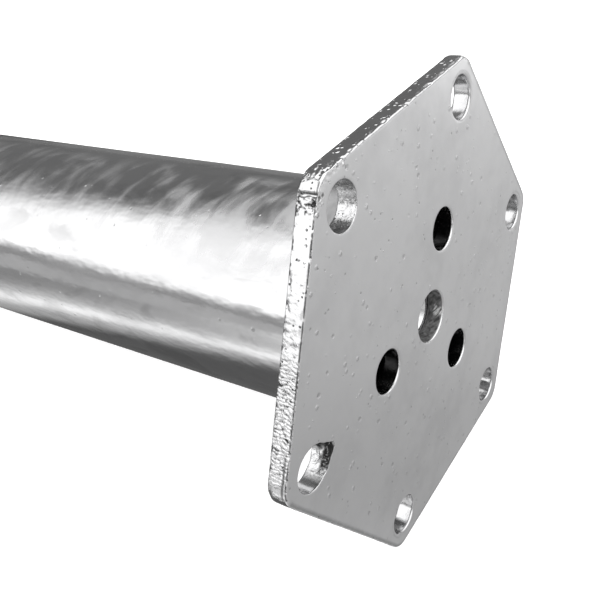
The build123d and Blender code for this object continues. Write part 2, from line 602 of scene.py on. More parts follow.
@dataclass(frozen=True)
class ZincFinish:
    """A hot-dip galvanised surface: clouded grey metal with grain, dimples, smudges and specks.

    Depths are the real heights of the unevenness.
    """

    slot: str
    bright: tuple[float, float, float] = (0.66, 0.66, 0.665)
    dull: tuple[float, float, float] = (0.56, 0.56, 0.565)
    gloss: float = 0.20
    matt: float = 0.32
    # clouds, whose finer part is some times as fine and makes up a share of them
    clouds: Blotches = Blotches(14 * MM, 3.0, 0.4)
    cloud_length: float = 1.0
    fineness: float = 5.0
    fine_share: float = 0.3
    clouded: Span = Span(0.38, 0.68)
    grain: Blotches = Blotches(0.35 * MM)
    grain_depth: float = 0.004 * MM
    dimples: Blotches = Blotches(3.0 * MM, 1.0)
    dimple_depth: float = 0.03 * MM
    dimple_length: float = 1.0
    # how strong the smudges are, and their grey
    smudge: float = 0.0
    smudge_grey: float = 0.2
    smudges: Blotches = Blotches(5.0 * MM, 4.0, 0.5)
    smudged: Span = Span(0.52, 0.70)
    specks: tuple[Specks, ...] = ()
    wisps: Wisps | None = None
    cut: FlameCut | None = None
    # a bore within this radius and above this depth gets painted shade, dark and rough, without specks
    hollow_radius: float = 0.0
    hollow_depth: float = 500 * MM
    bore_shade_grey: float = 0.12
    hollow_matt: float = 0.5

    def material(self) -> bpy.types.Material:
        """The finish as a material.

        Returns:
            A new material named after the finish's slot.
        """
        made, wiring = new_material(self.slot)
        place = wiring.upright_place()
        cloud = self.cloudiness(wiring, place)
        colour = wiring.mix(cloud, (*self.bright, 1), (*self.dull, 1), Socket.COLOUR)
        roughness = wiring.mix(cloud, self.gloss, self.matt)
        look = Surface(wiring, place, colour, roughness, [self.unevenness(wiring, place)])
        if self.smudge:
            long = wiring.drawn_out(place, self.cloud_length)
            dark = self.smudged.share(wiring, self.smudges.over(wiring, long))
            look.cover(wiring.times(dark, self.smudge), grey(self.smudge_grey))
        if self.wisps:
            self.wisps.smear(look)
        if self.cut:
            self.cut.add(look)
        outside = self.outside(wiring, place) if self.hollow_radius else 1.0
        for specks in self.specks:
            specks.scatter(look, outside)
        # painted shade: the bore is darkened and roughened
        if self.hollow_radius:
            inside = wiring.math("SUBTRACT", 1.0, outside)
            look.cover(inside, grey(self.bore_shade_grey), self.hollow_matt)
        look.show()
        return made

    def cloudiness(self, wiring: Wiring, place: object) -> Output:
        """Soft patches from 0, bright and glossy, to 1, dull and matt.

        Args:
            wiring: the material's nodes.
            place: upright coordinates.

        Returns:
            The share of the dull look.
        """
        long = wiring.drawn_out(place, self.cloud_length)
        broad = self.clouds.over(wiring, long)
        fine = Blotches(self.clouds.width / self.fineness).over(wiring, long)
        return self.clouded.share(wiring, wiring.mix(self.fine_share, broad, fine))

    def unevenness(self, wiring: Wiring, place: object) -> Output:
        """The height of the fine grain and of the broader dimples.

        Args:
            wiring: the material's nodes.
            place: upright coordinates.

        Returns:
            The height.
        """
        dimples = self.dimples.over(wiring, wiring.drawn_out(place, self.dimple_length))
        return wiring.total(wiring.times(self.grain.over(wiring, place), self.grain_depth),
                            wiring.times(dimples, self.dimple_depth))

    def outside(self, wiring: Wiring, place: object) -> Output:
        """1 outside the bore's painted shade, and 0 in it.

        Args:
            wiring: the material's nodes.
            place: upright coordinates.

        Returns:
            The number.
        """
        x, y, z = wiring.parts(place)
        away = wiring.math("SQRT", wiring.total(wiring.times(x, x), wiring.times(y, y)))
        below = wiring.math("LESS_THAN", z, -self.hollow_depth)
        return wiring.math("MAXIMUM", wiring.math("GREATER_THAN", away, self.hollow_radius), below)


@dataclass(frozen=True)
class Ripple:
    """One size of unevenness, which only ever sinks a surface."""

    width: float
    depth: float
    seed: float

    def sink(self, point: Vector) -> float:
        """How far the surface sinks at a point."""
        return self.depth * (0.5 + 0.5 * bumps(point, self.width, self.seed))


def bumps(point: Vector, width: float, seed: float = 0.0) -> float:
    """A soft random value from -1 to 1 at a point, in bumps about as wide as given."""
    return noise.noise(point / width + Vector((seed, seed, seed)))


def layered(point: Vector, layers: Layers) -> float:
    """Bumps of several sizes laid over one another, each with its share."""
    return sum(share * bumps(point, width) for share, width in layers)


def wear(bm: BMesh, sink: Callable[[Vector, Vector], float]) -> None:
    """Sinks every vertex along its normal.

    Args:
        bm: the piece, still upright.
        sink: the distance for a point and its normal.
    """
    bm.normal_update()
    for vert in bm.verts:
        vert.co -= vert.normal * sink(vert.co, vert.normal)


def finished(bm: BMesh, name: str, node: str, finish: ZincFinish) -> bpy.types.Object:
    """Turns a modelled piece onto its side and dresses it.

    Args:
        bm: the piece, upright and closed.
        name: the new object's name.
        node: the CAD node that it stands for.
        finish: its finish.

    Returns:
        The new object, riding on the root body.
    """
    bmesh.ops.recalc_face_normals(bm, faces=bm.faces)
    bmesh.ops.transform(bm, matrix=LAY_DOWN, verts=bm.verts)
    piece = new_object(bm, name, finish.material())
    piece.data.shade_smooth()
    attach(piece, "root")
    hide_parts(node)
    log.info("%s: %d faces, in place of %s", name, len(piece.data.polygons), node)
    return piece


def new_mesh(bm: BMesh, name: str) -> bpy.types.Mesh:
    """Keeps a modelled surface as a mesh.

    Args:
        bm: the surface, which is freed.
        name: the mesh's name.

    Returns:
        The mesh.
    """
    mesh = bpy.data.meshes.new(name)
    bm.to_mesh(mesh)
    bm.free()
    return mesh


def new_object(bm: BMesh, name: str, material: bpy.types.Material) -> bpy.types.Object:
    """Puts a modelled surface in the scene.

    Args:
        bm: the surface, which is freed.
        name: the object's name.
        material: what it is made of.

    Returns:
        The object.
    """
    made = bpy.data.objects.new(name, new_mesh(bm, name))
    made.data.materials.append(material)
    bpy.context.scene.collection.objects.link(made)
    return made


def add_mesh(bm: BMesh, mesh: bpy.types.Mesh, drop: float) -> None:
    """Adds a copy of a mesh to a piece, that far below its own place.

    Args:
        bm: the piece.
        mesh: the mesh.
        drop: how far down it goes.
    """
    known = len(bm.verts)
    bm.from_mesh(mesh)
    bm.verts.ensure_lookup_table()
    bmesh.ops.translate(bm, vec=(0, 0, -drop), verts=bm.verts[known:])


def round_off(bm: BMesh, corners: list[BMVert], offset: float, segments: int) -> None:
    """Rounds corners of a flat outline, that far along its sides."""
    bmesh.ops.bevel(bm, geom=corners, offset=offset, offset_type="OFFSET", segments=segments,
                    profile=0.5, affect="VERTICES", material=-1)


def open_up(bm: BMesh) -> None:
    """Leaves only the outlines of flat faces."""
    bmesh.ops.delete(bm, geom=bm.faces[:], context="FACES_ONLY")


def divide(bm: BMesh, edge: BMEdge, step: float) -> None:
    """Divides an edge evenly into lengths of at most a step."""
    bmesh.ops.subdivide_edges(bm, edges=[edge], cuts=ceil(edge.calc_length() / step) - 1)


def full_turn(bm: BMesh, steps: int) -> None:
    """Spins an outline once round the upright axis."""
    bmesh.ops.spin(bm, geom=bm.verts[:] + bm.edges[:], cent=(0, 0, 0), axis=UPRIGHT_AXIS,
                   angle=2 * pi, steps=steps, use_merge=True)


def polar(direction: float, distance: float = 1.0) -> Vector:
    """A place in the plate's plane, by its direction in degrees and its distance."""
    return Vector((cos(radians(direction)), sin(radians(direction)), 0)) * distance


def heading(way: Vector) -> float:
    """The direction of a place in the plate's plane, in degrees from -180 to 180."""
    return degrees(atan2(way.y, way.x))


def same_way(first: float, second: float) -> bool:
    """Whether two directions are the same, to less than a degree."""
    return abs(first - second) < 1


def flattened(point: Vector) -> Vector:
    """The place in the plate's plane over a point."""
    return Vector((point.x, point.y, 0))


# the head plate's sides
SIDES = 6
# what is painted on the plate's vertices, from 0 to 1, for its finish to read
PAINTED = ("cut_share", "soot_and_shade", "wall", "pits", "drips", "dull", "streaked", "open")


@dataclass(frozen=True)
class Hole:
    """A round hole through the head plate."""

    centre: Vector
    radius: float
    # the radius of its rims' rounding
    rim: float
    # how dull and grey the zinc froze on its wall, from 0 to 1
    dullness: float


@dataclass(frozen=True)
class Burns:
    """Where the torch burnt into one hole's wall. Directions are about the hole, in degrees."""

    centre: Vector
    # in which directions it did, how far at most, and how many degrees to either side
    spread: tuple[tuple[float, float, float], ...] = (
        (88.0, 2.0 * MM, 34.0), (96.0, 0.7 * MM, 74.0), (48.0, 0.7 * MM, 24.0))
    reach: Span = Span(11 * MM, 6 * MM)
    # it spread less towards the back, and unevenly
    towards_front: Span = Span(-4.5 * MM, -1.0 * MM)
    back_share: float = 0.45
    unevenness: float = 0.35
    uneven_width: float = 1.3 * MM
    # the soot goes down the whole wall from some directions on, and just under the face from others
    deep_from: Span = Span(74, 84)
    shallow_from: Span = Span(37, 43)
    shallow: Span = Span(-2.9 * MM, -2.3 * MM)
    soot_end: Span = Span(172, 150)
    # how many degrees its ends wander
    wander: float = 6.0
    wander_width: float = 0.9 * MM

    def far(self, flat: Vector) -> float:
        """How far the flame burnt a point in the plate's plane away from the hole's middle.

        Args:
            flat: its place in the plate's plane.

        Returns:
            The distance.
        """
        turn = flat - self.centre
        direction = heading(turn) % 360
        return self.reach.rise(turn.length) * sum(
            far * Span(half, 0.0).rise(abs(direction - middle)) for middle, far, half in self.spread)

    def soot(self, flat: Vector, height: float) -> float:
        """How dark the flame left a point of the hole's wall, from 0 to 1.

        Args:
            flat: its place in the plate's plane.
            height: its height from the bearing face.

        Returns:
            The darkness.
        """
        if not self.far(flat):
            return 0.0
        place = flat / self.wander_width + Vector((0, 0, height / MM))
        direction = heading(flat - self.centre) % 360 + self.wander * noise.noise(place)
        shallow = self.shallow.rise(height) * self.shallow_from.rise(direction)
        return max(self.deep_from.rise(direction), shallow) * self.soot_end.rise(direction)

    def spread_hole(self, bm: BMesh) -> None:
        """Moves the hole's wall and rims to where the flame burnt them.

        Args:
            bm: the plate so far.
        """
        for vert in bm.verts:
            flat = flattened(vert.co)
            away = flat - self.centre
            if away.length < self.reach.start:
                share = self.back_share + (1 - self.back_share) * self.towards_front.rise(vert.co.z)
                uneven = 1.0 + self.unevenness * bumps(vert.co, self.uneven_width)
                vert.co += away.normalized() * self.far(flat) * uneven * share


@dataclass(frozen=True)
class RoughSide:
    """The side of the plate that was cut roughest, with drag lines, a groove, pits, soot, and painted
    shade in the lines and the groove.

    Places along it are from its middle, and heights are from the bearing face.
    """

    # the direction that it faces
    facing: float = 240.0
    # where the drag lines begin and end along it
    lines_from: Span = Span(2.5 * MM, 10 * MM)
    lines_to: Span = Span(40 * MM, 25 * MM)
    pitch: float = 1.0 * MM
    depth: float = 0.45 * MM
    sharpness: float = 1.3
    wobble: Layers = ((0.7, 2.6 * MM), (0.5, 0.9 * MM))
    # the torch made two passes: where the front one ends, its lines' slant, and its shift in pitches
    front_pass: Span = Span(-3.5 * MM, -2.7 * MM)
    slant: float = 0.3
    shift: float = 0.5
    # where the lines are broken, and what is left of them there
    unbroken: Span = Span(-0.45, 0.1)
    broken_width: float = 1.5 * MM
    broken_share: float = 0.25
    # a groove across the side
    groove: float = -35.2 * MM
    groove_depth: float = 0.6 * MM
    groove_side: Span = Span(0.75 * MM, 0.25 * MM)
    groove_bow: float = 0.9 * MM
    bow_width: float = 2.5 * MM
    # a pitted patch beside it
    patch: float = -32.3 * MM
    patch_reach: Span = Span(3.4 * MM, 1.2 * MM)
    patch_depth: float = 0.5 * MM
    patch_width: float = 1.1 * MM
    # soot in dots along the front rim and the back rim
    dot_width: float = 1.3 * MM
    front_reach: Span = Span(0.8 * MM, 0.4 * MM)
    front_dots: Span = Span(-0.5, -0.1)
    front_edge: Span = Span(0.15, 0.5)
    back_reach: Span = Span(0.9 * MM, 0.5 * MM)
    back_dots: Span = Span(0.0, 0.25)
    back_share: float = 0.9
    # soot in spots on the patch, and painted shade in the groove
    spot_reach: Span = Span(3.2 * MM, 1.5 * MM)
    spots: Span = Span(0.02, 0.25)
    spot_width: float = 0.8 * MM
    groove_reach: Span = Span(0.5 * MM, 0.2 * MM)
    groove_share: float = 0.9
    # painted shade in the deepest parts of the drag lines
    line_shade: Span = Span(0.28, 0.45)
    line_dots: Span = Span(-0.15, 0.15)
    line_width: float = 0.9 * MM
    # near the side's end, a second dark line under the front rim, and a blot at the back
    second_from: Span = Span(24 * MM, 30 * MM)
    second_under: float = 1.4 * MM
    second_reach: Span = Span(0.4 * MM, 0.15 * MM)
    blot_from: Span = Span(35 * MM, 37 * MM)
    blot_reach: Span = Span(2.0 * MM, 1.2 * MM)
    end_share: float = 0.8

    def roughness(self, along: float) -> float:
        """How strong the drag lines are at a place along the side, from 0 to 1."""
        return self.lines_from.rise(along) * self.lines_to.rise(along)

    def drag_lines(self, along: float, point: Vector) -> float:
        """How deep in one of the drag lines a point is, from 0 to 1.

        Args:
            along: how far along the side it is.
            point: the point.

        Returns:
            The depth as a share of the deepest.
        """
        rough = self.roughness(along)
        if not rough:
            return 0.0
        front = self.front_pass.rise(point.z)
        phase = (along - self.slant * front * point.z) / self.pitch
        phase += layered(point, self.wobble) + self.shift * front
        whole = self.unbroken.rise(bumps(point, self.broken_width, seed=5))
        share = self.broken_share + (1 - self.broken_share) * whole
        return rough * share * (1 - abs(sin(pi * phase))) ** self.sharpness

    def sink(self, along: float, point: Vector) -> float:
        """How far the side sinks at a point.

        Args:
            along: how far along the side it is.
            point: the point.

        Returns:
            The distance.
        """
        groove = self.groove + self.groove_bow * bumps(point, self.bow_width)
        pits = abs(bumps(point, self.patch_width, seed=3))
        return (self.depth * self.drag_lines(along, point)
                + self.groove_depth * self.groove_side.rise(abs(along - groove))
                + self.patch_depth * self.patch_reach.rise(abs(along - self.patch)) * pits)

    def soot(self, along: float, under: float, over: float, point: Vector, wall: float) -> float:
        """How dark the side is with the flame's soot, and with painted shade in the drag lines and the
        groove.

        Args:
            along: the place along the side.
            under: how far the point is under the bearing face.
            over: how far it is over the back.
            point: the point itself.
            wall: how upright the surface is there, from 0 to 1.

        Returns:
            The darkness, from 0 to 1.
        """
        dots = bumps(point, self.dot_width, seed=9)
        front = self.front_reach.rise(under) * self.front_dots.rise(dots)
        back = self.back_reach.rise(over) * self.back_dots.rise(dots)
        spots = (self.spot_reach.rise(abs(along - self.patch))
                 * self.spots.rise(bumps(point, self.spot_width)))
        # painted shade in the groove, and in the drag lines' valleys
        groove = self.groove_reach.rise(abs(along - self.groove))
        lines = (self.line_dots.rise(bumps(point, self.line_width, seed=7))
                 * self.line_shade.rise(self.drag_lines(along, point)))
        second = (self.second_from.rise(along)
                  * self.second_reach.rise(abs(under - self.second_under)))
        blot = self.blot_from.rise(along) * self.blot_reach.rise(over)
        return min(max(front * self.front_edge.rise(wall), self.back_share * back, spots,
                       self.groove_share * groove, lines, self.end_share * max(second, blot)), 1.0)


@dataclass(frozen=True)
class DripSide:
    """The side with drips of zinc down it, whose front rim is chipped."""

    # the direction that it faces
    facing: float = 180.0
    # where along it the drips are
    drips: tuple[Span, ...] = (Span(-6 * MM, 10 * MM), Span(16 * MM, 34 * MM))
    # the shares of a drip's width from its middle where the zinc ends and where it is full
    fade: tuple[float, float] = (0.75, 0.25)
    least: float = 0.02
    most: float = 0.9
    patchy: Span = Span(-0.1, 0.25)
    patch_width: float = 4 * MM
    chips: tuple[float, ...] = (-16.2 * MM, -4.5 * MM, 9 * MM, 25.1 * MM)
    chip_depth: float = 0.3 * MM
    chip_reach: Span = Span(1.3 * MM, 0.3 * MM)
    chip_height: Span = Span(-1.2 * MM, -0.4 * MM)

    def sink(self, along: float, point: Vector) -> float:
        """How far the chips sink the side at a point."""
        nearest = min(abs(along - chip) for chip in self.chips)
        return self.chip_depth * self.chip_reach.rise(nearest) * self.chip_height.rise(point.z)

    def thickness(self, along: float, point: Vector) -> float:
        """How thick with drips the side is at a point, from 0 to 1.

        Args:
            along: how far along the side it is.
            point: the point.

        Returns:
            The thickness as a share of the thickest.
        """
        none, full = self.fade
        among = 0.0
        for drip in self.drips:
            width = drip.end - drip.start
            from_middle = abs(along - (drip.start + drip.end) / 2)
            among = max(among, Span(width * none, width * full).rise(from_middle))
        patchy = self.patchy.rise(bumps(point, self.patch_width, seed=2))
        return self.least + self.most * among * patchy


@dataclass
class HeadPlate:
    """The flame-cut hexagon with ten holes, its rims rounded and its faces unevened by zinc.

    Its sides and corners are named by the directions that they face, in degrees.
    """

    finish: ZincFinish
    across_flats: float = 135 * MM
    thickness: float = 6 * MM
    corner_radius: float = 7 * MM
    corner_segments: int = 20
    rim_radius: float = 0.85 * MM
    # the radius on two of the sides, and the directions over which it changes to theirs
    side_rims: tuple[tuple[float, float], ...] = ((240.0, 0.5 * MM), (180.0, 0.6 * MM))
    side_change: Span = Span(34, 4)
    # how much rounder the rims are at two corners
    corner_rounding: tuple[tuple[float, float], ...] = ((150.0, 0.4 * MM), (210.0, 0.2 * MM))
    corner_change: Span = Span(26, 6)
    outer_rim_radius: float = 0.8 * MM
    sharp_rim_radius: float = 0.4 * MM
    inner_rim_radius: float = 0.75 * MM
    # the direction of the first corner, which is also half of the angle from corner to corner
    corner_angle: float = 180 / SIDES
    outer_circle: float = 131 * MM
    outer_diameter: float = 12.5 * MM
    inner_circle: float = 54 * MM
    inner_diameter: float = 13 * MM
    centre_diameter: float = 16.2 * MM
    # how finely the rims, the faces and the walls are divided
    rim_step: float = 0.3 * MM
    rough_step: float = 0.2 * MM
    hole_step: float = 0.5 * MM
    face_step: float = 0.88 * MM
    back_step: float = 2.5 * MM
    arc_rows: int = 3
    wall_rows: int = 14
    rough: RoughSide = RoughSide()
    dripped: DripSide = DripSide()
    # the hole that the torch burnt into
    burnt_hole: float = 270.0
    # the corner with slag in its edges, and how far from it the slag goes
    slag_corner: float = 210.0
    slag_reach: Span = Span(9 * MM, 3.6 * MM)
    slag_depth: float = 0.7 * MM
    slag_layers: Layers = ((1.0, 1.5 * MM), (0.5, 0.7 * MM))
    # what is left of it on the rough side
    slag_share: float = 0.35
    # the slag on the front rim there
    rim_slag_reach: Span = Span(11 * MM, 7 * MM)
    rim_slag_width: Span = Span(2.4 * MM, 1.2 * MM)
    rim_slag_depth: float = 0.4 * MM
    rim_slag_layers: Layers = ((1.0, 0.9 * MM), (0.5, 0.5 * MM))
    # the corner that a drip of zinc swelled, and by how much
    swollen_corner: float = 150.0
    swelling: float = 0.45 * MM
    swollen_reach: Span = Span(6 * MM, 1.5 * MM)
    # the unevenness of all sides, with kinks near the rims
    kink_depth: float = 0.26 * MM
    kink_reach: Span = Span(1.6 * MM, 0.3 * MM)
    kink_share: float = 0.4
    kink_width: float = 3.2 * MM
    side_depth: float = 0.05 * MM
    side_width: float = 1.1 * MM
    # the unevenness of a cleanly cut and of a rough hole's wall, and its fine drag lines' share
    hole_depths: tuple[float, float] = (0.10 * MM, 0.30 * MM)
    hole_width: float = 1.6 * MM
    hole_lines: tuple[float, float] = (0.10, 0.6)
    hole_pits: tuple[float, float] = (0.0, 0.5)
    # the least fine drag lines and pits on any side, and how near the rims pits are thick
    side_lines: float = 0.15
    side_pits: float = 0.35
    near_rim: Span = Span(2.0 * MM, 0.5 * MM)
    # the dull zinc in the outer holes, and the streaks in any dull zinc
    outer_dullness: float = 0.05
    streak_direction: float = 65.0
    streak_across: Span = Span(12, 8)
    streak_depth: float = 1.9 * MM
    streak_height: Span = Span(2.0 * MM, 1.4 * MM)
    streak_wander: float = 5.0
    streak_width: float = 1.2 * MM
    least_streaked: float = 0.10
    # the painted shade at the bottom of the middle hole
    bottom_shade: float = 0.8
    bottom: Span = Span(-4.7 * MM, -5.2 * MM)
    bottom_wander: float = 0.5 * MM
    bottom_width: float = 0.8 * MM
    # the painted dark bands of reflection down two outer holes' walls, by hole: the direction and
    # darkness at each change
    painted_reflection_bands: tuple[tuple[int, tuple[tuple[float, float], ...]], ...] = (
        (210, ((20.0, 0.85), (30.0, 0.0), (62.0, 0.0), (65.0, 0.85), (70.0, 0.4), (82.0, 0.35),
               (87.0, 0.0), (92.0, 0.0), (97.0, 0.7))),
        (270, ((-6.0, 0.0), (4.0, 0.6), (18.0, 0.6), (27.0, 0.0))),
    )
    band_wander: Layers = ((5.0, 0.8 * MM), (3.0, 0.35 * MM))
    band_least: float = 0.75
    band_mottle: float = 0.45
    band_width: float = 0.5 * MM
    # the grey of the front rims on the sides that face up and away, and how far in it goes
    rim_grey: float = 0.45
    clean_facing: float = 30.0
    clean_sides: Span = Span(118, 100)
    rim_grey_width: float = 1.0 * MM
    rim_grey_base: float = 0.6
    # how upright a wall's vertex is at least, and a hole's where its soot and dull zinc begin
    least_wall: float = 0.1
    sooted_wall: Span = Span(0.1, 0.4)
    dull_wall: Span = Span(0.6, 0.95)
    # how far under the face the outer rim's marks go, and how far from its wall a hole's rim goes
    rim_depth: float = 2 * MM
    hole_margin: float = 3.2 * MM
    waves: tuple[Ripple, ...] = (Ripple(14 * MM, 0.08 * MM, 3.0), Ripple(5 * MM, 0.035 * MM, 8.0))

    def __post_init__(self) -> None:
        """Lays out the holes."""
        self.apothem = self.across_flats / 2
        self.reach = self.apothem / cos(radians(self.corner_angle))
        self.core = self.apothem - self.corner_radius
        self.outer_distance = self.outer_circle / 2
        self.burns = Burns(polar(self.burnt_hole, self.outer_distance))
        self.bands = dict(self.painted_reflection_bands)
        self.holes = []
        for way in (self.corner_angle + 360 / SIDES * i for i in range(SIDES)):
            sharp = same_way(way, self.slag_corner) or same_way(way, self.burnt_hole)
            rim = self.sharp_rim_radius if sharp else self.outer_rim_radius
            place = polar(way, self.outer_distance)
            self.holes.append(Hole(place, self.outer_diameter / 2, rim, self.outer_dullness))
        for way in (self.corner_angle + 720 / SIDES * i for i in range(SIDES // 2)):
            place = polar(way, self.inner_circle / 2)
            self.holes.append(Hole(place, self.inner_diameter / 2, self.inner_rim_radius, 0.0))
        middle = Vector((0, 0, 0))
        self.holes.append(Hole(middle, self.centre_diameter / 2, self.inner_rim_radius, 1.0))

    def corner(self, direction: float) -> Vector:
        """Where the hexagon's sides would meet at a corner if it weren't rounded."""
        return polar(direction, self.reach)

    def side_of(self, point: Vector) -> tuple[Vector, Vector, float]:
        """The side of the hexagon that a point is at.

        Args:
            point: a point near the outline.

        Returns:
            The side's outward direction, its direction along, and how far along it the point is.
        """
        step = 2 * self.corner_angle
        out = polar(round((heading(point) - step) / step) * step + step)
        way = Vector((-out.y, out.x, 0))
        return out, way, point.dot(way)

    def rim_at(self, point: Vector) -> tuple[Vector, Vector, float]:
        """The rim that a boundary point belongs to.

        Args:
            point: a point on any rim, at any depth.

        Returns:
            The nearest point of the rim's widest line, the direction out of the metal, and the
            radius of its rounding.
        """
        flat = flattened(point)
        for hole in self.holes:
            if (flat - hole.centre).length < hole.radius + 2 * hole.rim:
                out = (hole.centre - flat).normalized()
                return hole.centre - out * hole.radius, out, hole.rim
        out, way, along = self.side_of(flat)
        half = self.core * tan(radians(self.corner_angle))
        base = out * self.core + way * min(max(along, -half), half)
        away = (flat - base).normalized()
        return base + away * self.corner_radius, away, self.rounding(away)

    def rounding(self, away: Vector) -> float:
        """The radius of the outer rims' rounding where the plate's edge faces a direction.

        Args:
            away: the direction.

        Returns:
            The radius.
        """
        turn = heading(away) % 360
        change = sum((radius - self.rim_radius) * self.side_change.rise(abs(turn - side))
                     for side, radius in self.side_rims)
        more = sum(extra * self.corner_change.rise(abs(turn - corner))
                   for corner, extra in self.corner_rounding)
        return self.rim_radius + change + more

    def outline(self, bm: BMesh) -> None:
        """Draws the rounded hexagon, divided evenly.

        Args:
            bm: the mesh to draw in.
        """
        ring = bmesh.ops.create_circle(bm, cap_ends=True, segments=SIDES, radius=self.reach)
        setback = self.corner_radius * tan(radians(self.corner_angle))
        round_off(bm, ring["verts"], setback, self.corner_segments)
        open_up(bm)
        for edge in [e for e in bm.edges if e.calc_length() > self.corner_radius]:
            out, _, _ = self.side_of((edge.verts[0].co + edge.verts[1].co) / 2)
            rough = same_way(heading(out) % 360, self.rough.facing)
            divide(bm, edge, self.rough_step if rough else self.rim_step)

    def rim_place(self, point: Vector, inset: float, arc: float, share: float) -> Vector:
        """Where a rim's vertex goes for a row of the rounding or the wall.

        Args:
            point: the vertex's place on another row.
            inset: how far into the metal the row is, in rounding radii.
            arc: how far below the bearing face it is, in rounding radii.
            share: how far down the plain wall it is, as a share of that.

        Returns:
            The vertex's place on the row.
        """
        line, out, radius = self.rim_at(point)
        place = line - out * radius * inset
        depth = radius * arc + (self.thickness - 2 * radius) * share
        return Vector((place.x, place.y, -depth))

    def rim_rows(self) -> list[tuple[float, float, float]]:
        """The rows from the bearing face to the back, as shares.

        Returns:
            For each row its inset in rounding radii, its depth in rounding radii and its depth as a
            share of the plain wall.
        """
        turns = [pi / 2 * i / self.arc_rows for i in range(1, self.arc_rows + 1)]
        front = [(1 - sin(a), 1 - cos(a), 0.0) for a in turns]
        wall = [(0.0, 1.0, i / self.wall_rows) for i in range(1, self.wall_rows + 1)]
        back = [(1 - cos(a), 1 + sin(a), 1.0) for a in turns]
        return front + wall + back

    def flat_face(self, step: float) -> bpy.types.Mesh:
        """Makes one flat face of the plate between the rims, at z = 0.

        Args:
            step: the length that the sides of its triangles come down to.

        Returns:
            The face as a mesh.
        """
        bm = bmesh.new()
        self.outline(bm)
        for hole in self.holes:
            segments = ceil(2 * pi * hole.radius / self.hole_step)
            bmesh.ops.create_circle(bm, segments=segments, radius=hole.radius,
                                    matrix=Matrix.Translation(hole.centre))
        for vert in bm.verts:
            vert.co = self.rim_place(vert.co, 1.0, 0.0, 0.0)
        bmesh.ops.triangle_fill(bm, use_beauty=True, edges=bm.edges[:], normal=(0, 0, 1))
        even_out(bm, step)
        return new_mesh(bm, "flat_face")

    def build_walls(self, bm: BMesh) -> None:
        """Extrudes every rim of the bearing face row by row round to the back.

        Args:
            bm: the plate so far.
        """
        edges = [e for e in bm.edges if e.is_boundary]
        for row in self.rim_rows():
            made = bmesh.ops.extrude_edge_only(bm, edges=edges)["geom"]
            edges = [e for e in made if isinstance(e, BMEdge) and e.is_boundary]
            for vert in [v for v in made if isinstance(v, BMVert)]:
                vert.co = self.rim_place(vert.co, *row)

    def close_back(self, bm: BMesh) -> None:
        """Adds the back face, and joins its rims to the walls.

        Args:
            bm: the plate so far.
        """
        add_mesh(bm, self.flat_face(self.back_step), self.thickness)
        rims = [v for v in bm.verts if v.is_boundary]
        bmesh.ops.remove_doubles(bm, verts=rims, dist=MERGE_DISTANCE)

    def to_face(self, point: Vector) -> float:
        """How far a point of a wall is from the nearer of the plate's two faces."""
        return min(-point.z, self.thickness + point.z)

    def edge_sink(self, point: Vector, side: float, along: float) -> float:
        """How far the plate's outer edge sinks at a point, for all the marks that cutting left.

        Args:
            point: the point.
            side: the direction that its side faces.
            along: how far along the side it is.

        Returns:
            The distance.
        """
        kink = (self.kink_depth * self.kink_reach.rise(self.to_face(point))
                * (self.kink_share + bumps(point, self.kink_width)))
        sink = max(kink, 0.0) + self.side_depth * (1 + bumps(point, self.side_width))
        if same_way(side, self.dripped.facing):
            sink += self.dripped.sink(along, point)
        if same_way(side, self.rough.facing):
            sink += self.rough.sink(along, point)
        flat = flattened(point)
        to_swelling = (flat - self.corner(self.swollen_corner)).length
        sink -= self.swelling * self.swollen_reach.rise(to_swelling)
        near = self.slag_reach.rise((flat - self.corner(self.slag_corner)).length)
        share = self.slag_share if same_way(side, self.rough.facing) else 1.0
        return sink + near * share * self.slag_depth * abs(layered(point, self.slag_layers))

    def streaked(self, hole: Hole, point: Vector) -> float:
        """How streaked with light zinc a dull wall is at a point, from 0 to 1.

        Args:
            hole: the hole.
            point: the point.

        Returns:
            The share of light zinc.
        """
        direction = heading(point - hole.centre) + self.streak_wander * bumps(point, self.streak_width)
        patch = (self.streak_across.rise(abs(direction - self.streak_direction))
                 * self.streak_height.rise(abs(point.z + self.streak_depth)))
        return self.least_streaked + (1 - self.least_streaked) * patch

    def wall_shade(self, hole: Hole, point: Vector) -> float:
        """How dark the painted shade and painted reflection bands on a hole's wall are at a point, from
        0 to 1: at the bottom of the middle hole, and in uneven bands down a rough hole's wall.

        Args:
            hole: the hole.
            point: the point.

        Returns:
            The darkness.
        """
        if not hole.centre.length:
            # painted shade at the bottom of the middle hole
            wander = self.bottom_wander * bumps(point, self.bottom_width)
            return self.bottom_shade * self.bottom.rise(point.z + wander)
        bands = self.bands.get(round(heading(hole.centre)) % 360)
        if not bands:
            return 0.0
        # painted dark bands of reflection down the wall
        direction = heading(point - hole.centre) + layered(point, self.band_wander)
        shade = bands[0][1]
        for (start, before), (end, after) in zip(bands, bands[1:]):
            shade += (after - before) * Span(start, end).rise(direction)
        return shade * (self.band_least + self.band_mottle * bumps(point, self.band_width))

    def slag(self, flat: Vector) -> float:
        """How thickly slag sits on the front rim near its corner, from 0 to 1.

        Args:
            flat: its place in the plate's plane.

        Returns:
            The thickness as a share of the thickest.
        """
        near = self.rim_slag_reach.rise((flat - self.corner(self.slag_corner)).length)
        if not near:
            return 0.0
        line, _, _ = self.rim_at(flat)
        return near * self.rim_slag_width.rise((line - flat).length)

    def rim_shade(self, flat: Vector, height: float) -> float:
        """How grey the front rim is at a point, on the sides that were cut cleanly.

        Args:
            flat: its place in the plate's plane.
            height: its height from the bearing face.

        Returns:
            The darkness.
        """
        out, _, _ = self.side_of(flat)
        if flat.dot(out) < self.core:
            return 0.0
        line, away, radius = self.rim_at(flat)
        turn = (heading(away) - self.clean_facing + 180) % 360 - 180
        band = Span(radius + self.rim_grey_width, radius).rise((line - flat).length)
        at_rim = Span(-radius, -self.rim_grey_base * radius).rise(height)
        return self.rim_grey * self.clean_sides.rise(abs(turn)) * band * at_rim

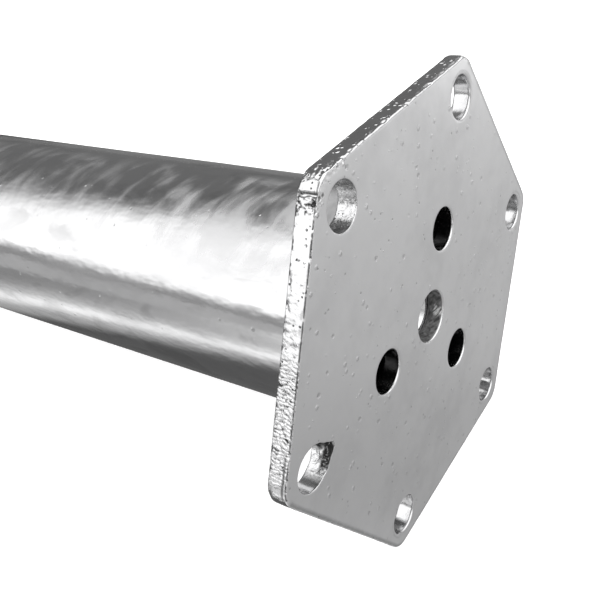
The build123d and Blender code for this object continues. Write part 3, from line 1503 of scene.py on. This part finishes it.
    def mark_hole(self, vert: BMVert, paint: Paint, hole: Hole, wall: float) -> float:
        """Paints a vertex of a hole's wall.

        Args:
            vert: the vertex.
            paint: the layers to paint in.
            hole: the hole.
            wall: how upright the surface is there, from 0 to 1.

        Returns:
            How far the wall sinks there.
        """
        point, flat = vert.co, flattened(vert.co)
        turn = flat - hole.centre
        at_slag = (hole.centre - polar(self.slag_corner, self.outer_distance)).length < hole.radius
        rough = at_slag or self.burns.far(flat) > 0
        vert[paint["cut_way"]] = (atan2(turn.y, turn.x) * hole.radius, point.z, 0)
        vert[paint["cut_share"]] = self.hole_lines[rough] * wall
        vert[paint["pits"]] = self.hole_pits[rough]
        # the burn's soot, or the painted shade and reflection bands
        shade = max(self.burns.soot(flat, point.z), self.wall_shade(hole, point))
        vert[paint["soot_and_shade"]] = shade * self.sooted_wall.rise(wall)
        vert[paint["dull"]] = hole.dullness * self.dull_wall.rise(wall)
        vert[paint["streaked"]] = self.streaked(hole, point)
        uneven = self.hole_depths[rough] * (0.5 + 0.5 * bumps(point, self.hole_width))
        return uneven * wall

    def mark_side(self, vert: BMVert, paint: Paint, wall: float) -> float:
        """Paints a vertex of one of the plate's sides.

        Args:
            vert: the vertex.
            paint: the layers to paint in.
            wall: how upright the surface is there, from 0 to 1.

        Returns:
            How far the side sinks there.
        """
        point = vert.co
        out, _, along = self.side_of(point)
        side = heading(out) % 360
        # each side's lines come from another part of the pattern
        vert[paint["cut_way"]] = (along + side, point.z, 0)
        rough = self.rough.roughness(along) if same_way(side, self.rough.facing) else 0.0
        vert[paint["cut_share"]] = (self.side_lines + (1 - self.side_lines) * rough) * wall
        near_rim = self.near_rim.rise(self.to_face(point))
        vert[paint["pits"]] = self.side_pits + (1 - self.side_pits) * near_rim
        if same_way(side, self.rough.facing):
            under, over = -point.z, self.thickness + point.z
            # soot, and painted shade in the drag lines and the groove
            vert[paint["soot_and_shade"]] = self.rough.soot(along, under, over, point, wall)
        elif same_way(side, self.dripped.facing):
            vert[paint["drips"]] = self.dripped.thickness(along, point)
        return self.edge_sink(point, side, along) * wall

    def mark_rim(self, vert: BMVert, paint: Paint, wall: float) -> float:
        """Paints a vertex of the bearing face or its outer rim.

        Args:
            vert: the vertex.
            paint: the layers to paint in.
            wall: how upright the surface is there, from 0 to 1.

        Returns:
            How far the slag there sinks it.
        """
        point, flat = vert.co, flattened(vert.co)
        soot_and_shade, drips = paint["soot_and_shade"], paint["drips"]
        vert[soot_and_shade] = max(vert[soot_and_shade], self.rim_shade(flat, point.z))
        slag = self.slag(flat)
        vert[drips] = max(vert[drips], slag * (1 - wall))
        return slag * self.rim_slag_depth * abs(layered(point, self.rim_slag_layers))

    def mark(self, bm: BMesh) -> None:
        """Sinks the faces and edges unevenly, and paints where and how roughly they were cut, with
        their soot and painted shade.

        Args:
            bm: the plate so far.
        """
        layers = bm.verts.layers
        paint = {"cut_way": layers.float_vector.new("cut_way")}
        for name in PAINTED:
            paint[name] = layers.float.new(name)
        moves = []
        for vert in bm.verts:
            point, normal = vert.co, vert.normal.copy()
            sink = sum(wave.sink(point) for wave in self.waves)
            wall = 1 - abs(normal.z)
            flat = flattened(point)
            hole = min(self.holes, key=lambda h: abs((flat - h.centre).length - h.radius))
            turn = flat - hole.centre
            at_hole = turn.length - hole.radius < self.hole_margin and normal.dot(turn) < 0
            at_wall = wall > self.least_wall
            if at_wall:
                sink += (self.mark_hole(vert, paint, hole, wall) if at_hole
                         else self.mark_side(vert, paint, wall))
            if not at_hole and point.z > -self.rim_depth:
                sink += self.mark_rim(vert, paint, wall)
            vert[paint["open"]] = 0.0 if at_hole and at_wall else 1.0
            vert[paint["wall"]] = wall
            moves.append(normal * sink)
        for vert, move in zip(bm.verts, moves):
            vert.co -= move
            # no zinc stands above the side that faces up
            vert.co.x = max(vert.co.x, -self.apothem)

    def build(self) -> bpy.types.Object:
        """Makes the plate.

        Returns:
            The finished piece.
        """
        bm = bmesh.new()
        bm.from_mesh(self.flat_face(self.face_step))
        self.build_walls(bm)
        self.close_back(bm)
        bmesh.ops.recalc_face_normals(bm, faces=bm.faces)
        bm.normal_update()
        self.burns.spread_hole(bm)
        bm.normal_update()
        self.mark(bm)
        return finished(bm, "dressed_head_plate", "head_plate", self.finish)


# an edge is divided if it is this many times as long as it should be, in so many passes
LONG_SIDE = 1.35
MOST_PASSES = 10


def even_out(bm: BMesh, step: float) -> None:
    """Divides a flat face into even triangles, leaving its outer edges alone.

    Args:
        bm: a mesh that holds only that face.
        step: the length that the triangles' sides come down to.
    """
    for _ in range(MOST_PASSES):
        inner = [e for e in bm.edges if not e.is_boundary]
        long = [e for e in inner if e.calc_length() > LONG_SIDE * step]
        if not long:
            break
        bmesh.ops.subdivide_edges(bm, edges=long, cuts=1, use_single_edge=True)
        bmesh.ops.triangulate(bm, faces=[f for f in bm.faces if len(f.verts) > 3])
        inner = [e for e in bm.edges if not e.is_boundary]
        bmesh.ops.beautify_fill(bm, faces=bm.faces[:], edges=inner)
        free = [v for v in bm.verts if not v.is_boundary]
        bmesh.ops.smooth_vert(bm, verts=free, factor=0.5,
                              use_axis_x=True, use_axis_y=True, use_axis_z=True)


@dataclass
class PileTube:
    """The tube from the plate's back to its swaged round point, with its bore."""

    finish: ZincFinish
    radius: float = 38.05 * MM
    wall: float = 3.6 * MM
    top: float = 6 * MM
    length: float = 800 * MM
    taper_depth: float = 540 * MM
    shoulder_radius: float = 250 * MM
    nose_radius: float = 7 * MM
    bore_end: float = 764 * MM
    bore_end_radius: float = 2.5 * MM
    # how finely it is divided: its rows outside and in the bore, its two arcs, and round it
    row_step: float = 2.4 * MM
    bore_step: float = 19.2 * MM
    nose_rows: int = 8
    shoulder_rows: int = 10
    columns: int = 132
    waves: tuple[Ripple, ...] = (Ripple(40 * MM, 0.12 * MM, 1.0), Ripple(12 * MM, 0.03 * MM, 5.0))

    def __post_init__(self) -> None:
        """Works out the taper."""
        taper_length = self.length - self.nose_radius - self.taper_depth
        self.fall = (self.radius - self.nose_radius) / taper_length
        self.angle = atan(self.fall)
        self.shoulder_run = self.shoulder_radius * tan(self.angle / 2)

    def surface_radius(self, depth: float) -> float:
        """The tube's outer radius at a depth on its straight part, shoulder or taper.

        Args:
            depth: the depth below the bearing face.

        Returns:
            The radius.
        """
        past = depth - (self.taper_depth - self.shoulder_run)
        if past <= 0:
            return self.radius
        if past < self.shoulder_radius * sin(self.angle):
            return self.radius - self.shoulder_radius + sqrt(self.shoulder_radius ** 2 - past ** 2)
        return self.radius - (depth - self.taper_depth) * self.fall

    def draw_half(self, bm: BMesh) -> None:
        """Draws half of the tube's long section, from the tip round to the end of the bore.

        Args:
            bm: the mesh to draw in.
        """
        tip = bm.verts.new((0, 0, -self.length))
        nose_centre = Vector((0, 0, self.nose_radius - self.length))
        nose = arc(bm, tip, nose_centre, self.angle - pi / 2, self.nose_rows)
        shoulder_depth = self.taper_depth - self.shoulder_run
        shoulder_top = bm.verts.new((self.radius, 0, -shoulder_depth))
        centre = Vector((self.radius - self.shoulder_radius, 0, -shoulder_depth))
        shoulder = arc(bm, shoulder_top, centre, self.angle, self.shoulder_rows)
        bore = self.radius - self.wall
        corners = [
            (self.radius, -self.top), (bore, -self.top), (bore, -self.taper_depth),
            (self.bore_end_radius, -self.bore_end), (0, -self.bore_end),
        ]
        chain = [shoulder_top] + [bm.verts.new((x, 0, z)) for x, z in corners]
        taper = bm.edges.new((nose, shoulder))
        side, _, bore_side, bore_taper, _ = [bm.edges.new(pair) for pair in zip(chain, chain[1:])]
        for edge, step in ((taper, self.row_step), (side, self.row_step),
                           (bore_side, self.bore_step), (bore_taper, self.bore_step)):
            bmesh.ops.subdivide_edges(bm, edges=[edge], cuts=ceil(edge.calc_length() / step))

    def build(self) -> bpy.types.Object:
        """Makes the tube.

        Returns:
            The finished piece.
        """
        bm = bmesh.new()
        self.draw_half(bm)
        full_turn(bm, self.columns)
        bmesh.ops.remove_doubles(bm, verts=bm.verts, dist=MERGE_DISTANCE)
        bmesh.ops.recalc_face_normals(bm, faces=bm.faces)
        wear(bm, lambda point, normal: sum(wave.sink(point) for wave in self.waves))
        return finished(bm, "dressed_tube", "pile_tube", self.finish)


def arc(bm: BMesh, start: BMVert, centre: Vector, angle: float, steps: int) -> BMVert:
    """Spins one vertex into an arc in the plane of the long section.

    Args:
        bm: the mesh to draw in.
        start: the arc's first vertex.
        centre: the arc's centre.
        angle: how far it turns, about +Y.
        steps: how many edges it has.

    Returns:
        The arc's last vertex.
    """
    made = bmesh.ops.spin(bm, geom=[start], cent=centre, axis=(0, 1, 0), angle=angle, steps=steps)
    return next(e for e in made["geom_last"] if isinstance(e, BMVert))


@dataclass
class ScrewThread:
    """The flat strip wound on edge round the tube, and the rippled bead that welds it on."""

    finish: ZincFinish
    tube: PileTube
    pitch: float = 50 * MM
    height: float = 16 * MM
    thickness: float = 3 * MM
    start: float = 345 * MM
    end: float = 765 * MM
    weld_leg: float = 3.5 * MM
    weld_crown: float = 0.5 * MM
    start_rise: float = 16 * MM
    end_rise: float = 50 * MM
    # the share of its height that the strip has where it is cut off
    cut_share: float = 0.2
    edge_round: float = 0.8 * MM
    round_segments: int = 3
    # how finely it is divided: what is a long side of its section, into what, and round the tube
    long_side: float = 4 * MM
    side_step: float = 2.4 * MM
    steps_per_turn: int = 220
    wave: Ripple = Ripple(9 * MM, 0.08 * MM, 2.0)
    # the bead's ripples, and how far from the strip and from the tube they are
    ripple_depth: float = 0.22 * MM
    ripple_length: float = 2.6 * MM
    ripple_wander: float = 2.0
    wander_width: float = 8 * MM
    ripple_margin: float = 0.3 * MM

    def share(self, depth: float) -> float:
        """How much of its full height the strip has at a depth."""
        nearest = min((depth - self.start) / self.start_rise, (self.end - depth) / self.end_rise)
        return self.cut_share + (1 - self.cut_share) * sin(min(max(nearest, 0), 1) * pi / 2)

    def reach(self, out: float, depth: float) -> float:
        """How far from the tube a point of the section stands at a depth."""
        return out - max(out - self.weld_leg, 0) * (1 - self.share(depth))

    def draw_section(self, bm: BMesh) -> None:
        """Draws the strip's section with its bead, out from the tube's side at the thread's start.

        Args:
            bm: the mesh to draw in.
        """
        half = self.thickness / 2
        crown = self.weld_leg / 2 + self.weld_crown
        corners = [
            (0, -half), (self.height, -half), (self.height, half),
            (self.weld_leg, half), (crown, half + crown), (0, half + self.weld_leg),
        ]
        ring = [bm.verts.new((out, 0, up)) for out, up in corners]
        bm.faces.new(ring)
        round_off(bm, ring[1:3], self.edge_round, self.round_segments)
        crest_place = Vector((crown, 0, half + crown))
        crest = min(bm.verts, key=lambda v: (v.co - crest_place).length)
        round_off(bm, [crest], self.weld_leg / 3, self.round_segments)
        open_up(bm)
        for edge in [e for e in bm.edges if e.calc_length() > self.long_side]:
            divide(bm, edge, self.side_step)

    def spun(self, turns: float) -> bpy.types.Mesh:
        """Spins the section down a helix of even radius, for up to one turn.

        Args:
            turns: how much of a turn it goes.

        Returns:
            The open strip, whose vertices remember their place in the section.
        """
        bm = bmesh.new()
        self.draw_section(bm)
        place_layer = bm.verts.layers.float_vector.new("section")
        for vert in bm.verts:
            vert[place_layer] = vert.co
            vert.co.x += self.tube.radius
        steps = round(turns * self.steps_per_turn)
        bmesh.ops.spin(bm, geom=bm.verts[:] + bm.edges[:], cent=(0, 0, 0), axis=UPRIGHT_AXIS,
                       dvec=(0, 0, -turns * self.pitch / steps), angle=-2 * pi * turns,
                       steps=steps, use_merge=False)
        return new_mesh(bm, "turn")

    def build(self) -> bpy.types.Object:
        """Makes the thread.

        Returns:
            The finished piece.
        """
        bm = bmesh.new()
        turns = (self.end - self.start) / self.pitch
        whole = self.spun(1.0)
        for i in range(int(turns)):
            add_mesh(bm, whole, i * self.pitch)
        add_mesh(bm, self.spun(turns - int(turns)), int(turns) * self.pitch)
        ends = [v for v in bm.verts if v.is_boundary]
        bmesh.ops.remove_doubles(bm, verts=ends, dist=MERGE_DISTANCE)
        bmesh.ops.holes_fill(bm, edges=[e for e in bm.edges if e.is_boundary], sides=0)
        place_layer = bm.verts.layers.float_vector["section"]
        first = 2 * pi * (self.tube.taper_depth - self.start) / self.pitch
        for vert in bm.verts:
            out, _, up = vert[place_layer]
            depth = self.start + up - vert.co.z
            angle = first - 2 * pi * (depth - self.start) / self.pitch
            radius = self.tube.surface_radius(depth - up) + self.reach(out, depth)
            vert.co = Vector((radius * cos(angle), radius * sin(angle), up - depth))
        bmesh.ops.recalc_face_normals(bm, faces=bm.faces)
        self.ripple(bm, place_layer)
        return finished(bm, "dressed_thread", "screw_thread", self.finish)

    def ripple(self, bm: BMesh, place_layer: object) -> None:
        """Sinks the valleys between the bead's ripples, and unevens the strip.

        Args:
            bm: the thread.
            place_layer: what holds each vertex's place in the section.
        """
        bm.normal_update()
        for vert in bm.verts:
            out, _, up = vert[place_layer]
            sink = self.wave.sink(vert.co)
            if min(up - self.thickness / 2, out) > self.ripple_margin:
                way = 2 * pi * (up - vert.co.z) / self.pitch * self.tube.radius
                wander = self.ripple_wander * bumps(vert.co, self.wander_width)
                sink += self.ripple_depth * abs(sin(pi * way / self.ripple_length + wander))
            vert.co -= vert.normal * sink


@dataclass
class HeadWeld:
    """The bead round the tube in the corner under the plate, laid in overlapping ripples."""

    finish: ZincFinish
    tube: PileTube
    leg: float = 5.5 * MM
    crown: float = 0.5 * MM
    # how far along its sides the crown is rounded, as a share of the leg
    crown_share: float = 1 / 2.2
    crown_segments: int = 6
    columns: int = 480
    ripple_length: float = 3.1 * MM
    ripple_depth: float = 0.35 * MM
    ripple_bow: float = 1.6 * MM
    ripple_wander: float = 1.2 * MM
    wander_width: float = 9 * MM
    # a normal's part along or across the tube from which a face is one of the bead's flat legs
    flat_leg: float = 0.97

    def build(self) -> bpy.types.Object:
        """Makes the bead.

        Returns:
            The finished piece.
        """
        bm = bmesh.new()
        inner, top = self.tube.radius, -self.tube.top
        middle = self.leg / 2 + self.crown
        corners = [(inner, top - self.leg), (inner + middle, top - middle),
                   (inner + self.leg, top), (inner, top)]
        ring = [bm.verts.new((x, 0, z)) for x, z in corners]
        bm.faces.new(ring)
        round_off(bm, [ring[1]], self.leg * self.crown_share, self.crown_segments)
        open_up(bm)
        full_turn(bm, self.columns)
        bmesh.ops.recalc_face_normals(bm, faces=bm.faces)
        wear(bm, self.ripple)
        return finished(bm, "dressed_head_weld", "head_weld", self.finish)

    def ripple(self, point: Vector, normal: Vector) -> float:
        """How far the bead sinks between its ripples.

        Args:
            point: the point.
            normal: the surface's normal there.

        Returns:
            The distance.
        """
        if max(abs(normal.z), normal.xy.length) > self.flat_leg:
            return 0.0
        bow = self.ripple_bow * ((point.z + self.tube.top) / self.leg) ** 2
        wander = self.ripple_wander * bumps(point, self.wander_width)
        way = atan2(point.y, -point.x) * self.tube.radius + bow + wander
        return self.ripple_depth * abs(sin(pi * way / self.ripple_length))


class Ray(Enum):
    """The kinds of light ray that show a backdrop as plain white."""

    CAMERA = "Is Camera Ray"
    TRANSMISSION = "Is Transmission Ray"


@dataclass(frozen=True)
class Walls:
    """The room as the metal sees it, by direction: how bright each part of it is.

    Beyond the pile's head there is a lit wall on one side and a dark curtain on the other. The
    rest of the room is pale above a dark skirting.
    """

    room: float = 1.0
    room_top: float = 1.9
    room_skirting: float = 0.22
    above_skirting: Span = Span(0.08, 0.22)
    overhead: Span = Span(0.28, 0.50)
    lit: float = 1.85
    lit_top: float = 1.68
    up_the_wall: Span = Span(0.30, 0.46)
    lit_skirting: float = 0.34
    above_lit_skirting: Span = Span(0.05, 0.18)
    curtain: float = 0.19
    beyond: Span = Span(-0.10, -0.45)
    # the lit wall's edge, by how far a ray goes sideways less a share of how far it goes beyond
    sideways: Span = Span(0.72, 0.32)
    slant: float = 0.8

    def level(self, wiring: Wiring) -> Output:
        """The brightness of the room in the direction of a ray.

        Args:
            wiring: the world's nodes.

        Returns:
            The brightness.
        """
        x, y, z = wiring.parts(wiring.node("ShaderNodeTexCoord").outputs["Generated"])
        above = wiring.mix(self.overhead.share(wiring, z), self.room, self.room_top)
        near = wiring.mix(self.above_skirting.share(wiring, z), self.room_skirting, above)
        wall = wiring.mix(self.up_the_wall.share(wiring, z), self.lit, self.lit_top)
        lit = wiring.mix(self.above_lit_skirting.share(wiring, z), self.lit_skirting, wall)
        across = wiring.math("SUBTRACT", y, wiring.times(x, self.slant))
        far = wiring.mix(self.sideways.share(wiring, across), self.curtain, lit)
        return wiring.mix(self.beyond.share(wiring, x), near, far)


@dataclass(frozen=True)
class Tone:
    """How bright a card is at one place across it."""

    place: float
    level: float
    # how much more so at the card's near end
    near: float = 1.0


@dataclass(frozen=True)
class PaintedShadeCard:
    """Glowing card laid on the floor beside the pile, painted with shade and light across it, which
    only the metal mirrors.
    """

    name: str
    low: tuple[float, float]
    high: tuple[float, float]
    across: tuple[float, float]
    tones: tuple[Tone, ...]
    # how much of that brightness it has at its far and its near end, and where it changes
    ends: tuple[float, float] = (1.0, 1.0)
    along: Span = Span(-0.40, -0.08)
    lift: float = 0.02 * MM

    def material(self) -> bpy.types.Material:
        """The card's glow, its painted shade and light, in smooth steps from tone to tone.

        Returns:
            The material.
        """
        made, wiring = new_material(self.name)
        x, y, _ = wiring.parts(wiring.node("ShaderNodeTexCoord").outputs["Object"])
        over_x, over_y = self.across
        place = wiring.total(wiring.times(x, over_x), wiring.times(y, over_y))
        far_end, near_end = self.ends
        far = self.shaded(wiring, place, [tone.level * far_end for tone in self.tones])
        near_levels = [tone.level * near_end * tone.near for tone in self.tones]
        near = self.shaded(wiring, place, near_levels)
        level = wiring.mix(self.along.share(wiring, x), far, near)
        glow = wiring.node("ShaderNodeEmission")
        wiring.feed(glow.inputs["Strength"], level)
        wiring.show(glow.outputs[0])
        return made

    def shaded(self, wiring: Wiring, place: object, levels: list[float]) -> object:
        """One end's brightness across the card, in smooth steps from each tone's to the next.

        Args:
            wiring: the material's nodes.
            place: the place across the card.
            levels: the tones' brightness at that end.

        Returns:
            The brightness.
        """
        level = levels[0]
        for tone, following, new_level in zip(self.tones, self.tones[1:], levels[1:]):
            share = wiring.rise(place, tone.place, following.place)
            level = wiring.mix(share, level, new_level)
        return level

    def lay(self, floor_level: float) -> None:
        """Lays the card on the floor.

        Args:
            floor_level: the floor's height.
        """
        bm = bmesh.new()
        bmesh.ops.create_grid(bm, x_segments=1, y_segments=1, size=0.5)
        low, high = Vector((*self.low, 0)), Vector((*self.high, 0))
        bmesh.ops.scale(bm, vec=high - low + Vector((0, 0, 1)), verts=bm.verts)
        over_floor = Vector((0, 0, floor_level + self.lift))
        bmesh.ops.translate(bm, vec=(low + high) / 2 + over_floor, verts=bm.verts)
        card = staged(bm, self.name, self.material())
        for ray in ("camera", "diffuse", "transmission", "shadow", "volume_scatter"):
            setattr(card, f"visible_{ray}", False)


# the pile's painted shadow as the metal mirrors it, black under and behind the pile, with a painted
# pool of light in a white strip and painted shade in a grey one slanting beside it
SIDE_SHADOW_CARD = PaintedShadeCard(
    "side_shadow_card", (-2.9, -2.6), (-0.02, 2.9), (0.53, 1.0),
    (Tone(-0.53, 0.80, 1.9), Tone(-0.45, 0.47, 2.0), Tone(-0.32, 0.44, 1.5), Tone(-0.285, 0.48, 1.3),
     Tone(-0.245, 0.70), Tone(-0.200, 1.35, 0.95), Tone(-0.162, 0.45), Tone(-0.134, 0.10),
     Tone(-0.04, 0.10), Tone(0.04, 0.34)),
    ends=(0.72, 1.28),
)
# painted shade, darker towards the camera, so that the head plate mirrors it darker
FRONT_SHADE_CARD = PaintedShadeCard(
    "front_shade_card", (0.002, -0.35), (0.60, 0.35), (0.35, 1.0),
    (Tone(-0.30, 0.80), Tone(-0.05, 0.60), Tone(-0.01, 0.53), Tone(0.03, 0.57), Tone(0.08, 0.67),
     Tone(0.16, 0.69), Tone(0.22, 0.73), Tone(0.28, 0.78), Tone(0.40, 0.83)),
    ends=(0.94, 1.04), along=Span(0.0, 0.17),
)


def staged(bm: BMesh, name: str, material: bpy.types.Material) -> bpy.types.Object:
    """Turns a modelled surface into a piece of the studio.

    Args:
        bm: the surface, in its place.
        name: its name.
        material: what it is made of.

    Returns:
        The new object.
    """
    made = new_object(bm, name, material)
    return made


@dataclass
class Studio:
    """The camera, the floor and the soft light."""

    eye: Vector = Vector((0.09015, -0.15359, 0.13958))
    look: Vector = Vector((-0.48645, 0.64581, -0.58847))
    up: Vector = Vector((-0.21100, 0.56676, 0.79640))
    sensor: float = 36.0
    lens: float = 44.074
    # the photograph is cut to one side of its optical axis
    shift: float = -0.1024
    walls: Walls = Walls()
    # cards painted with the pile's shadow and light, which only the metal mirrors
    cards: tuple[PaintedShadeCard, ...] = (SIDE_SHADOW_CARD, FRONT_SHADE_CARD)
    floor_size: float = 3.0
    floor_shade: float = 0.85
    floor_gap: float = 0.05 * MM
    floor_squares: int = 4
    nearest_seen: float = 10 * MM
    # the plain white that the camera sees over the floor's own light and shade
    floor_white: float = 0.5

    def place_camera(self) -> None:
        """Sets the camera where the photograph was taken from."""
        back = -self.look.normalized()
        side = self.up.cross(back).normalized()
        over = back.cross(side)
        data = bpy.data.cameras.new("camera")
        data.sensor_width = self.sensor
        data.lens = self.lens
        data.shift_x = self.shift
        data.clip_start = self.nearest_seen
        camera = bpy.data.objects.new("camera", data)
        turn = Matrix((side, over, back)).transposed().to_4x4()
        camera.matrix_world = Matrix.Translation(self.eye) @ turn
        bpy.context.scene.collection.objects.link(camera)
        bpy.context.scene.camera = camera

    def lay_floor(self) -> None:
        """Lays a plain pale floor just under the pile, and on it the cards of painted shade and light.
        """
        level = CAD_BOX[0][2] - self.floor_gap
        bm = bmesh.new()
        bmesh.ops.create_grid(bm, x_segments=self.floor_squares, y_segments=self.floor_squares,
                              size=self.floor_size)
        bmesh.ops.translate(bm, vec=(0, 0, level), verts=bm.verts)
        staged(bm, "floor", self.floor_material())
        for card in self.cards:
            card.lay(level)

    def seen_plainly(self, wiring: Wiring) -> Output:
        """1 for the rays that show the backdrop as plain white, and 0 for the rest.

        Args:
            wiring: the nodes of the material or world.

        Returns:
            The number.
        """
        rays = wiring.node("ShaderNodeLightPath")
        camera, transmission = (rays.outputs[ray.value] for ray in Ray)
        return wiring.math("MAXIMUM", camera, transmission)

    def floor_material(self) -> bpy.types.Material:
        """Pale card, which is seen as white but for the pile's soft shadow.

        Returns:
            The material.
        """
        made, wiring = new_material("floor_card")
        card = wiring.node("ShaderNodeBsdfDiffuse")
        wiring.feed(card.inputs["Color"], grey(self.floor_shade))
        white = wiring.node("ShaderNodeEmission")
        wiring.feed(white.inputs["Strength"], wiring.times(self.seen_plainly(wiring), self.floor_white))
        both = wiring.node("ShaderNodeAddShader")
        wiring.feed(both.inputs[0], card.outputs[0])
        wiring.feed(both.inputs[1], white.outputs[0])
        wiring.show(both.outputs[0])
        return made

    def light(self) -> None:
        """Lights the room by its walls, which the camera itself sees as plain white."""
        world = bpy.data.worlds.new("studio")
        bpy.context.scene.world = world
        world.use_nodes = True
        wiring = Wiring(world.node_tree)
        walls, white = (wiring.node("ShaderNodeBackground") for _ in range(2))
        for background in (walls, white):
            wiring.feed(background.inputs["Color"], grey(1.0))
        wiring.feed(walls.inputs["Strength"], self.walls.level(wiring))
        both = wiring.node("ShaderNodeMixShader")
        wiring.feed(both.inputs[0], self.seen_plainly(wiring))
        wiring.feed(both.inputs[1], walls.outputs[0])
        wiring.feed(both.inputs[2], white.outputs[0])
        wiring.show(both.outputs[0], "World")

    def build(self) -> None:
        """Sets up the whole studio."""
        bpy.context.scene.view_settings.view_transform = "Standard"
        self.place_camera()
        self.lay_floor()
        self.light()


PLATE_ZINC = ZincFinish(
    slot="plate_zinc", bright=(0.65, 0.65, 0.655), dull=(0.58, 0.58, 0.585), gloss=0.28, matt=0.35,
    cut=FlameCut(),
    specks=(
        Specks(2.6 * MM, 0.65 * MM, 0.20 * MM, share=0.32, pits=0.2, where="open", shade=0.2),
        Specks(1.5 * MM, 0.36 * MM, 0.09 * MM, share=0.14, pits=0.35, where="open", shade=0.4),
        Specks(1.0 * MM, 0.30 * MM, 0.20 * MM, share=0.6, pits=0.9, where="pits", shade=0.95),
        Specks(1.5 * MM, 0.55 * MM, 0.45 * MM, share=0.8, pits=0.1, where="drips"),
    ),
)
TUBE_ZINC = ZincFinish(
    slot="tube_zinc", gloss=0.13, matt=0.21, cloud_length=2.0,
    dimples=Blotches(1.4 * MM, 1.0), dimple_depth=0.075 * MM, dimple_length=2.2,
    smudge=0.3, wisps=Wisps(), hollow_radius=36 * MM,
    specks=(
        Specks(3 * MM, 0.6 * MM, 0.08 * MM, share=0.07, pits=0.2, shade=0.3),
        Specks(1.5 * MM, 0.3 * MM, 0.04 * MM, share=0.06, pits=0.3, shade=0.3),
    ),
)
THREAD_ZINC = ZincFinish(slot="thread_zinc", smudge=0.3)
WELD_ZINC = ZincFinish(slot="weld_zinc", gloss=0.22, matt=0.34)
# the nut's bore gets the same painted shade
NUT_ZINC = ZincFinish(
    slot="nut_zinc", bright=(0.72, 0.72, 0.72), dull=(0.62, 0.62, 0.62), gloss=0.22, matt=0.30,
    hollow_radius=5.95 * MM)


def dress_node(node: str, material: bpy.types.Material) -> None:
    """Gives a CAD node's object a finish in each of its material slots.

    Args:
        node: the node's name.
        material: the finish's material.
    """
    for place in frame["nodes"][node].material_slots:
        place.material = material
    log.info("%s keeps its CAD shape", node)


def main() -> None:
    """Builds the studio and every piece."""
    logging.basicConfig(level=logging.INFO, format="%(name)s: %(message)s")
    Studio().build()
    tube = PileTube(TUBE_ZINC)
    HeadPlate(PLATE_ZINC).build()
    tube.build()
    ScrewThread(THREAD_ZINC, tube).build()
    HeadWeld(WELD_ZINC, tube).build()
    dress_node("centre_nut", NUT_ZINC.material())
    dress_node("nut_weld", WELD_ZINC.material())


if __name__ == "__main__":
    main()
